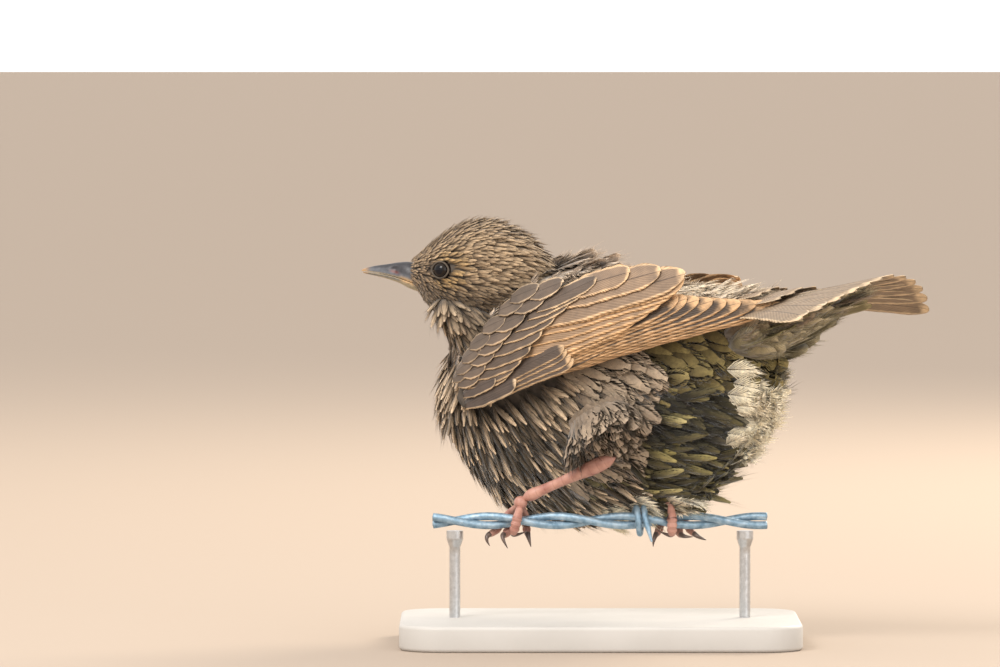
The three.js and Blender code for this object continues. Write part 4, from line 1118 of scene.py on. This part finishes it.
# Flight feathers
def vaneSheet(place, v, columns=10, rows=26):
    # both faces of a vane: its half width opens from the root and closes as an ellipse past the shoulder
    w = np.linspace(0, 1, rows + 1)
    t = 1 - (1 - w) ** 1.5
    c = np.linspace(-1, 1, columns + 1)
    tt, cc = np.meshgrid(t, c, indexing="ij")
    root, tip = np.array(v["root"], float), np.array(v["tip"], float)
    along = tip - root
    length = np.linalg.norm(along)
    side = np.array([-along[1], along[0]]) / length
    taper = np.sqrt(np.clip(1 - np.clip((tt - v["shoulder"]) / (1 - v["shoulder"]), 0, 1) ** 2, 0, 1))
    half = v["width"] / 2 * np.minimum(1, 0.5 + 1.6 * tt) * taper
    nick = 1 + 0.035 * np.sin(tt * 37 + v["seed"]) * (np.abs(cc) > 0.99)
    x = root[0] + along[0] * tt + side[0] * cc * half * nick
    y = root[1] + along[1] * tt + side[1] * cc * half * nick
    ridge = 0.16 * np.exp(-(cc / 0.08) ** 2)
    ripple = 0.07 * np.sin(9 * cc + 5 * tt + v["seed"])
    rim = (np.abs(cc) < 0.999) & (tt > 0) & (tt < 0.9999)
    base = v["lift"] + v.get("rise", 0) * tt - v["tilt"] * cc - v.get("cup", 0.25) * cc ** 2 + ripple * rim
    thick = 0.14 * rim * (1 - cc ** 2) + ridge * rim
    sheets = [place(x, y, base + thick), place(x, y, base - thick * 0.8)]
    n, k = rows + 1, columns + 1
    top = np.arange(n * k).reshape(n, k)
    border = np.zeros((n, k), bool)
    border[0], border[-1], border[:, 0], border[:, -1] = True, True, True, True
    lowIndex = np.where(border, top, 0)
    lowIndex[~border] = n * k + np.arange((~border).sum())
    verts = np.concatenate([sheets[0].reshape(-1, 3), sheets[1][~border]])
    faces = np.concatenate([gridFaces(top), gridFaces(lowIndex)[:, ::-1]])
    uvTop = np.stack([(cc + 1) / 2, tt], -1).reshape(-1, 2)
    uv = np.concatenate([uvTop, np.stack([(cc + 1) / 2, tt], -1)[~border]])
    return verts, faces, uv


def tractVanes(t):
    made = []
    for i in range(t["count"]):
        f = i / max(t["count"] - 1, 1)
        made.append({
            "root": through(t["roots"], f), "tip": through(t["tips"], f),
            "width": t["width"][0] + (t["width"][1] - t["width"][0]) * f,
            "lift": t["lift"][0] + (t["lift"][1] - t["lift"][0]) * f,
            "tilt": t["tilt"], "shoulder": t.get("shoulder", 0.6), "seed": 7.3 * i + 1,
            "tint": np.array(t["tint"]) * (0.9 + 0.2 * ((i * 37) % 10) / 10), "rim": np.array(t["rim"])})
    return made


# Primaries, their coverts, secondaries, tertials, alula, then greater, median and lesser coverts
wingTracts = [
    {"count": 9, "roots": [[16, -2.2], [15, -1], [13, 0.5]],
     "tips": [[112.6, -1.6], [97, 2.6], [83, 7.4]], "width": (7, 9.5), "lift": (-1.9, -0.1), "tilt": 0.4,
     "shoulder": 0.8, "tint": (0.06, 0.043, 0.032), "rim": (0.62, 0.4, 0.22)},
    {"count": 4, "roots": [[8, -3.6], [9, -1.5]], "tips": [[46, -3], [44, 2]], "width": (5.5, 5.5),
     "lift": (1.0, 1.5), "tilt": 0.4, "shoulder": 0.85, "tint": (0.1, 0.075, 0.06),
     "rim": (0.6, 0.42, 0.25)},
    {"count": 6, "roots": [[22, 1], [36, 12]], "tips": [[66.5, 4.6], [77, 8], [86, 12.2]],
     "width": (8.5, 9.5), "lift": (0.6, 1.7), "tilt": 0.5, "shoulder": 0.85, "tint": (0.3, 0.2, 0.125),
     "rim": (0.7, 0.45, 0.24)},
    {"count": 3, "roots": [[36, 12.5], [42, 17], [46, 19.5]], "tips": [[86.6, 14], [79, 17], [69, 19.4]],
     "width": (11, 9), "lift": (2.3, 3.3), "tilt": 0.5, "shoulder": 0.75, "tint": (0.25, 0.175, 0.12),
     "rim": (0.68, 0.47, 0.28)},
    {"count": 2, "roots": [[2.5, -3.4], [3, -0.5]], "tips": [[24.6, -3.4], [17.5, -0.4]],
     "width": (6.8, 5), "lift": (2.1, 2.7), "tilt": 0.5, "shoulder": 0.75, "tint": (0.085, 0.065, 0.055),
     "rim": (0.66, 0.5, 0.33)},
    # the three covert rows are dark: partly their own dark brown, partly painted shade of the hollow under
    # the mantle
    {"count": 9, "roots": [[4, 0.5], [10, 5], [24, 11.5], [36, 17]],
     "tips": [[23, 0.2], [31.3, 4.2], [44.8, 13.8], [58, 20.5]], "width": (5.4, 7), "lift": (2.2, 3.6),
     "tilt": 0.6, "shoulder": 0.7, "tint": (0.11, 0.082, 0.064), "rim": (0.66, 0.48, 0.3)},
    {"count": 8, "roots": [[2, 3.5], [10, 9.5], [18, 15], [34, 22.5]],
     "tips": [[11.6, 2.9], [20.4, 8.6], [30, 15], [46, 23]], "width": (5.6, 7.6), "lift": (2.9, 4.2),
     "tilt": 0.6, "shoulder": 0.5, "tint": (0.12, 0.09, 0.07), "rim": (0.6, 0.45, 0.3)},
    {"count": 7, "roots": [[0, 5.5], [9, 13.5], [26, 24]], "tips": [[8.5, 7], [18, 14], [37, 24.2]],
     "width": (5.4, 7), "lift": (3.0, 4.4), "tilt": 0.5, "shoulder": 0.45, "tint": (0.13, 0.1, 0.078),
     "rim": (0.42, 0.32, 0.22)}]
wingCoreRows = [
    [-1.5, -2.5, 1.5], [7, -5.6, 10], [16, -6.2, 18], [28, -6, 24.5], [40, -5.4, 25.5], [54, -3.6, 21.5],
    [66, 0, 18.5], [72, 6, 15]]


def addVanes(name, vanes, place, replaces, origin):
    verts, faces, uvs, tints, rims, bakes, count = [], [], [], [], [], [], 0
    for k, v in enumerate(vanes):
        vv, ff, uv = vaneSheet(place, v)
        verts.append(vv)
        faces.append(ff + count)
        uvs.append(uv)
        tints.append(np.broadcast_to(v["tint"], (len(vv), 3)))
        rims.append(np.broadcast_to(v["rim"], (len(vv), 3)))
        cell = np.array([origin[0] + 0.05 * (k % 4), origin[1] + 0.012 * (k // 4)])
        bakes.append(cell + uv * np.array([0.045, 0.01]))
        count += len(vv)
    print(name, "triangles", 2 * sum(len(f) for f in faces))
    return makeMesh(name, np.concatenate(verts), [np.concatenate(faces)], vaneMat, True,
                    {"tint": np.concatenate(tints), "rim": np.concatenate(rims)},
                    {"vane": np.concatenate(uvs), "OFBake": np.concatenate(bakes)}, replaces)


def wingCoreFn(place):
    def fn(s, a):
        x, low, high = np.moveaxis(through(wingCoreRows, s), -1, 0)
        y = (low + high) / 2 + (high - low) / 2 * np.cos(a) * 0.97
        full = np.sqrt(np.clip(np.sin(np.pi * np.clip(s, 0, 1)), 0, 1))
        top = np.interp(x, [0, 22, 40, 72], [1.9, 1.5, -0.9, -1.6])
        return place(x, y, -0.6 + np.sin(a) * full * np.where(np.sin(a) > 0, top, 4.0))
    return fn


for side, word, x0 in ((1, "left", 0.02), (-1, "right", 0.26)):
    place = wingPlace(side)
    vanes = [v for t in wingTracts for v in tractVanes(t)]
    addVanes(word + "WingFeathers", vanes, place, ("wing_" + word,), (x0, 0.97 - 0.16))
    v, f, uv = loftGrid(wingCoreFn(place), 30, 24)
    makeMesh(word + "WingCore", v, f, skinAndShadeMat)


def fanVanes(count, start, to, spread, width, lift, step, tint, rim, shoulder=0.8, rise=0.0):
    f = np.linspace(-1, 1, count)
    turn, reach = f * spread, to - 2.2 * (1 - np.abs(f)) ** 2
    return [{"root": (start * math.cos(u), start * math.sin(u)), "tip": (r * math.cos(u), r * math.sin(u)),
             "width": width, "lift": lift - step * abs(g) * (count / 2), "rise": rise,
             "tilt": 0.35 * np.sign(g), "shoulder": shoulder, "seed": 3.1 * k, "tint": np.array(tint),
             "rim": np.array(rim), "cup": 0.3}
            for k, (g, u, r) in enumerate(zip(f, turn, reach))]


tailVanes = (
    fanVanes(12, 3, tail["length"], tail["spread"], 10.5, 0, 0.34, (0.24, 0.18, 0.125), (0.62, 0.48, 0.32))
    + fanVanes(5, 2, 30, 0.42, 10, 1.6, 0.3, (0.27, 0.2, 0.14), (0.5, 0.39, 0.27), 0.6)
    + fanVanes(4, -4, 19, 0.4, 10, 3.4, 0.3, (0.27, 0.2, 0.14), (0.5, 0.39, 0.27), 0.5)
    # the two lowest fans are the undertail coverts; their dark olive is partly their own colour, partly
    # painted shade tinged green by reflected light
    + fanVanes(9, 8, 44, 0.42, 9, -7.5, 0.5, (0.15, 0.13, 0.06), (0.32, 0.28, 0.15), 0.6, 4.5)
    + fanVanes(7, 2, 32, 0.5, 9, -12, 0.5, (0.15, 0.13, 0.06), (0.32, 0.28, 0.15), 0.6, 4.5))
addVanes("tailFeathers", tailVanes, tailPlace, ("tail",), (0.52, 0.82))


# Bill
upperRows = [[-14.6, 0, 0], [-13.9, 0.75, 0.55], [-10.5, 1.9, 1.15], [-6.13, 3.2, 1.75], [-2.19, 4.7, 2.4],
             [1.5, 5.8, 3.1], [4.5, 5.2, 2.8], [5, 0, 0]]
lowerRows = [[-14.1, 0, 0], [-13.4, 0.45, 0.45], [-10.2, 0.85, 1.0], [-5.84, 1.2, 1.6], [-1.75, 1.6, 2.3],
             [1.5, 2.2, 2.9], [4.5, 2.0, 2.6], [5, 0, 0]]


def mouthLine(x):
    m = x + billLength / 2
    return -1.25 - 0.115 * m - 0.0092 * m ** 2


def billFn(rows, side):
    # half of the bill: the mouth line is its flat side and the ridge rises or drops from it
    def fn(s, a):
        x, high, half = np.moveaxis(through(rows, s), -1, 0)
        sn = np.sin(a)
        up = np.clip(sn, 0, 1) ** 0.9 * high
        if side > 0:
            dent = np.exp(-((x + 3.1) / 1.5) ** 2 - ((np.abs(np.cos(a)) - 0.86) / 0.13) ** 2)
            half = half * (1 - 0.28 * dent)
        edge = np.where(sn > 0, 1, 0.96) * (1 + 0.04 * np.exp(-(sn / 0.15) ** 2))
        return headPoint(x, half * np.cos(a) * edge, mouthLine(x) + side * (up + 0.12))
    return fn


def billTint(p, side):
    # slate horn: dark ridge, straw cutting edge and gape, rust tip and a red slit at the nostril
    a, _, h = toHead(p)
    above = side * (h - mouthLine(a))
    colour = np.broadcast_to(np.array([0.09, 0.1, 0.12]), p.shape)
    if side > 0:
        colour = mixTo(colour, np.array([0.028, 0.028, 0.034]), 0.85 * smooth(0.8, 2.4, above))
    else:
        colour = mixTo(colour, np.array([0.33, 0.29, 0.19]), 0.7 * smooth(0.3, 1.2, above))
    colour = mixTo(colour, np.array([0.45, 0.36, 0.2]), 0.6 * smooth(0.55, 0.1, above))
    colour = mixTo(colour, np.array([0.4, 0.23, 0.09]), 0.75 * smooth(-11.0, -14.4, a))
    colour = mixTo(colour, np.array([0.5, 0.33, 0.16]),
                   0.8 * smooth(-2.2, 0.3, a) * smooth(1.2, 0.2, above))
    if side > 0:
        slit = np.exp(-((a + 3.2) / 1.35) ** 2 - ((above - 1.55) / 0.42) ** 2)
        colour = mixTo(colour, np.array([0.1, 0.02, 0.015]), np.clip(1.3 * slit, 0, 1))
    return colour


for rows, side, word in ((upperRows, 1, "upper"), (lowerRows, -1, "lower")):
    v, f, uv = loftGrid(billFn(rows, side), 90, 64)
    makeMesh("bill" + word.capitalize(), v, f, billMat, True, {"tint": billTint(v, side)}, {"form": uv},
             ("bill_" + word,))
print("bill done")


# Eyes with a thin ring of lid
def eyeMaterial(side):
    mat, nodes, links, shader = newMaterial("eyeMaterial" + ("L" if side > 0 else "R"))
    geometry = nodes.new("ShaderNodeTexCoord")
    away = node(nodes, "ShaderNodeVectorMath", operation="DISTANCE")
    away.inputs[1].default_value = tuple((eyeCentre(side) + eyeAxis(side) * eye["radius"]) * 0.001)
    links.new(geometry.outputs["Object"], away.inputs[0])
    scale = maths(nodes, links, "MULTIPLY", away.outputs["Value"], 250.0)
    colours = ramp(nodes, [(0.0, (0.004, 0.004, 0.006)), (0.34, (0.004, 0.004, 0.006)),
                           (0.38, (0.014, 0.009, 0.006)), (0.62, (0.008, 0.005, 0.004))])
    links.new(scale, colours.inputs[0])
    links.new(colours.outputs[0], shader.inputs["Base Color"])
    shader.inputs["Roughness"].default_value = 0.06
    shader.inputs["Specular IOR Level"].default_value = 0.24
    return mat


lidMat = plainMaterial("lidMaterial", [(0.3, (0.05, 0.04, 0.03)), (0.7, (0.115, 0.09, 0.065))], 0.75,
                       scale=900, bump=0.5)
for side, word in ((1, "left"), (-1, "right")):
    c, axis = eyeCentre(side), eyeAxis(side)
    v, f, uv = loftGrid(ballFn(c, eye["radius"]), 28, 36)
    makeMesh(word + "Eye", v, f, eyeMaterial(side), replaces=("eye_" + word,))
    across = unit(np.cross(upward, axis))
    up = np.cross(axis, across)
    t, r = np.meshgrid(np.linspace(0, 2 * np.pi, 48, endpoint=False),
                       np.linspace(0, 2 * np.pi, 10, endpoint=False), indexing="ij")
    t, r = t.ravel(), r.ravel()
    lidRadius = 0.25 + 0.06 * np.cos(t) ** 2
    wide, tall = 2.75 + 0.25 * np.cos(t) ** 8, 2.55
    out = wide[:, None] * np.cos(t)[:, None] * across + tall * np.sin(t)[:, None] * up
    verts = c + axis * (eye["radius"] * 0.62) + out + lidRadius[:, None] * (
        np.cos(r)[:, None] * unit(out) + 1.1 * np.sin(r)[:, None] * axis)
    i, j = np.meshgrid(np.arange(48), np.arange(10), indexing="ij")
    quads = np.stack([i * 10 + j, ((i + 1) % 48) * 10 + j, ((i + 1) % 48) * 10 + (j + 1) % 10,
                      i * 10 + (j + 1) % 10], -1).reshape(-1, 4)
    makeMesh(word + "Lid", verts, [quads], lidMat)
print("eyes done")


# Legs, toes and claws
toeRing = 2 * 1.25 + gap + 1.6
ankleRadius = 2.1
toes = {
    "left": [
        ("outer", (-26, -34.5), (0.5, 3.0), 1.3, (0.6, -0.8, -3.4)),
        ("middle", (-25.5, -30), (0.6, 3.3), 1.35, (1.6, -1.6, -4.2)),
        ("inner", (-23.6, -22.4), (0.7, 2.9), 1.25, (1.0, -0.8, -3.8)),
        ("hind", (-25.2, -27), (-0.9, -2.6), 1.5, (4.6, -1.5, 1.0))],
    "right": [
        ("outer", (21, 17.4), (0.5, 3.0), 1.25, (-0.8, -1.6, -3.6)),
        ("middle", (22.6, 25.2), (0.6, 3.15), 1.35, (3.6, -1.8, -0.4)),
        ("inner", (24, 29.5), (0.7, 2.9), 1.25, (3.4, -0.8, -1.6)),
        ("hind", (22.3, 22.3), (-0.9, -2.75), 1.5, (-4.4, -0.5, 1.4))]}


def toePoints(foot, x, turn):
    f = np.linspace(0, 1, 7)[1:]
    ang = turn[0] + (turn[1] - turn[0]) * f
    ring = vec(x[0] + (x[1] - x[0]) * f, toeRing * np.sin(ang), wireZ + toeRing * np.cos(ang))
    return np.concatenate([[foot + np.array([0, 0, -1.2])], ring])


def toeRadius(radius):
    # rounded at both ends, swelling at the pads and finely ringed by scales
    def fn(s):
        start = np.minimum(1, np.sqrt(np.clip(6 * s, 0, 1)))
        end = np.sqrt(np.clip(1 - s ** 9, 0, 1))
        return radius * start * end * (1 + 0.07 * np.sin(s * 2 * np.pi * 4.5) + 0.02 * np.sin(s * 90))
    return fn


for side in ("left", "right"):
    leg = legs[side]
    shankFn = tubeFn([leg["heel"], leg["foot"]], lambda s: through(shankRows, s)[..., 1])
    v, f, uv = loftGrid(shankFn, 120, 24)
    makeMesh(side + "Shank", v, f, legMat, uvs={"form": uv}, replaces=("shank_" + side,))
    parts = []
    for name, x, turn, radius, claw in toes[side]:
        pts = toePoints(leg["foot"], x, turn)
        parts.append(loftGrid(tubeFn(pts, toeRadius(radius)), 70, 20))
        end, along = pts[-1], unit(pts[-1] - pts[-2])
        start = end - along * 0.5
        tip = end + along * (gap + 0.05) + np.array(claw)
        bend = start + along * 3.1
        w = np.linspace(0, 1, 9)[:, None]
        curve = start * (1 - w) ** 2 + 2 * bend * w * (1 - w) + tip * w ** 2
        cv, cf, _ = loftGrid(tubeFn(curve, lambda s: 0.92 * np.clip(1 - s, 0, 1) ** 0.7 + 0.015), 24, 14)
        makeMesh(side + name.capitalize() + "Claw", cv, cf, clawMat,
                 replaces=(f"claw_{side}_{name}",))
    parts.append(loftGrid(ballFn(leg["foot"] + np.array([0, 0, -0.9]), ankleRadius), 16, 20))
    verts, faces, uv = joinLofts(parts)
    makeMesh(side + "Foot", verts, faces, legMat, uvs={"form": uv},
             replaces=("foot_" + side,))
print("legs done")


# Perch wire
perch = {"radius": 1.25, "twist": 42.0, "length": 104.0, "phase": 0.4, "barbX": 15.5, "barbRadius": 0.95}


def strandRadius(s):
    # even along the strand and drawn in at its very ends
    return perch["radius"] * np.clip(np.minimum(s, 1 - s) * 500, 0, 1) ** 0.5


def barbRadius(s):
    # even in the middle, tapering to a quarter at both ends
    return perch["barbRadius"] * np.minimum(1, 0.25 + 14 * s * (1 - s))


for k in (0, 1):
    x = np.linspace(-perch["length"] / 2, perch["length"] / 2, 121)
    turn = perch["phase"] + k * np.pi + 2 * np.pi * x / perch["twist"]
    r = perch["radius"] + gap / 2
    pts = vec(x, r * np.cos(turn), wireZ + r * np.sin(turn))
    v, f, uv = loftGrid(tubeFn(pts, strandRadius), 300, 20)
    makeMesh("wireStrand%d" % (k + 1), v, f, wireMat, uvs={"form": uv},
             replaces=("wire_strand_%d" % (k + 1),))


def barbPoints(x, phase, direction):
    ring = 2 * perch["radius"] + gap + perch["barbRadius"] + 0.25
    turns, steps = 1.3, 28

    def at(turn, px):
        return np.array([px, ring * np.cos(turn), wireZ + ring * np.sin(turn)])

    start = at(phase, x)
    lead = unit(np.array([-0.25 * direction, math.sin(phase), -math.cos(phase)]))
    pts = [start + lead * d for d in (8.5, 5.7, 3)]
    for i in range(steps + 1):
        turn = phase + 2 * math.pi * turns * i / steps
        pts.append(at(turn, x + direction * (2 * perch["barbRadius"] + gap) * turns * i / steps))
    last = phase + 2 * math.pi * turns
    away = unit(np.array([0.25 * direction, -math.sin(last), math.cos(last)]))
    return np.array(pts + [pts[-1] + away * d for d in (3, 5.7, 8.5)])


v, f, uv = loftGrid(tubeFn(barbPoints(perch["barbX"] - 4.4, 0.9, 1), barbRadius), 220, 16)
makeMesh("wireBarb", v, f, wireMat, uvs={"form": uv}, replaces=("wire_barb_1",))
print("wire done")


# Stand: the base keeps its solid, softly rounded again here; rods keep theirs
def baseMesh():
    settings = {"x": 62.0, "y": 43.0, "height": 8.0, "corner": 14.0, "bevel": 1.2}
    radius, b = settings["corner"], settings["bevel"]
    straight = np.array([settings["x"], settings["y"]]) - radius
    corner = np.linspace(0, np.pi / 2, 13)
    ring = []
    for k, signs in enumerate(((1, 1), (-1, 1), (-1, -1), (1, -1))):
        ang = corner + k * np.pi / 2
        ring.append(signs * straight + radius * np.stack([np.cos(ang), np.sin(ang)], -1))
    ring = np.concatenate(ring)
    out = unit(ring - np.clip(ring, -straight, straight))
    bevel = np.linspace(0, np.pi / 2, 5)
    levels = [(b * (1 - math.sin(e)), b * (1 - math.cos(e))) for e in bevel]
    levels += [(b * (1 - math.cos(e)), settings["height"] - b + b * math.sin(e)) for e in bevel]
    verts = np.concatenate([np.concatenate([ring - out * inset, np.full((len(ring), 1), z)], axis=1)
                            for inset, z in levels])
    m, k = len(levels), len(ring)
    quads = gridFaces(closedGrid(m, k))
    caps = np.array([np.arange(k)[::-1], (m - 1) * k + np.arange(k)])
    obj = makeMesh("standBase", verts, [quads, caps], standMat, True,
                   replaces=("stand_base",))
    obj.data.set_sharp_from_angle(angle=deg(35))


baseMesh()
rod = {"x": (-45.0, 45.0), "low": 8.0, "clear": 0.3, "radius": 1.7, "head": 2.6}
for k, x in enumerate(rod["x"], 1):
    low, high = rod["low"], wireZ - 2 * perch["radius"] - gap - rod["clear"]
    profile = [[low, 0], [low, rod["radius"]], [low + 0.01, rod["radius"]], [high - 5, rod["radius"]],
               [high - 2.5, rod["head"]], [high, rod["head"]], [high, 0]]

    def rodFn(s, a):
        z, r = [np.interp(s * 6, range(7), column) for column in zip(*profile)]
        return vec(x + r * np.cos(a), r * np.sin(a), z)
    v, f, uv = loftGrid(rodFn, 60, 28)
    rodObj = makeMesh("standRod%d" % k, v, f, rodMat, replaces=("stand_rod_%d" % k,))
    rodObj.data.set_sharp_from_angle(angle=deg(40))
print("stand done", coatPieces)


# Floor, light and camera
def makeFloor():
    mesh = bpy.data.meshes.new("floor")
    mesh.from_pydata([(-60, -60, 0), (60, -60, 0), (60, 60, 0), (-60, 60, 0)], [], [(0, 1, 2, 3)])
    obj = bpy.data.objects.new("floor", mesh)
    scene.collection.objects.link(obj)
    mat, _, _, shader = newMaterial("floorMaterial")
    shader.inputs["Base Color"].default_value = (0.42, 0.34, 0.272, 1)
    shader.inputs["Roughness"].default_value = 0.9
    mesh.materials.append(mat)


def addLight(name, at, aim, size, power, colour):
    light = bpy.data.lights.new(name, "AREA")
    light.size = size
    light.energy = power
    light.color = colour
    obj = bpy.data.objects.new(name, light)
    scene.collection.objects.link(obj)
    obj.location = at
    direction = np.subtract(aim, at)
    obj.rotation_euler = Vector(direction).to_track_quat("-Z", "Y").to_euler()


makeFloor()
world = bpy.data.worlds.new("studio")
world.use_nodes = True
world.node_tree.nodes["Background"].inputs[0].default_value = (1.0, 0.95, 0.9, 1)
world.node_tree.nodes["Background"].inputs[1].default_value = 1.25
scene.world = world
target = (-0.01, 0, 0.095)
addLight("keyLight", (-0.7, -1.1, 1.2), target, 0.7, 19, (1, 0.97, 0.94))
addLight("fillLight", (0.9, -1.3, 0.5), target, 1.2, 6, (0.94, 0.97, 1))
addLight("rimLight", (0.8, 1.1, 0.9), target, 0.7, 20, (1, 0.88, 0.72))

view = {"distance": 2600.0, "elevation": deg(2), "perPixel": 0.31, "px": 600, "py": 521,
        "width": 1000, "height": 667, "sensor": 36}
cam = bpy.data.cameras.new("photoCamera")
camObj = bpy.data.objects.new("photoCamera", cam)
scene.collection.objects.link(camObj)
cam.sensor_width = view["sensor"]
cam.lens = view["sensor"] * view["distance"] / (view["width"] * view["perPixel"])
cx = (view["width"] / 2 - view["px"]) * view["perPixel"]
cz = wireZ + (view["py"] - view["height"] / 2) * view["perPixel"]
camObj.location = (cx * 0.001, -view["distance"] * math.cos(view["elevation"]) * 0.001,
                   (cz + view["distance"] * math.sin(view["elevation"])) * 0.001)
camObj.rotation_euler = (math.pi / 2 - view["elevation"], 0, 0)
cam.clip_end = 50
scene.camera = camObj
scene.view_settings.view_transform = "Standard"
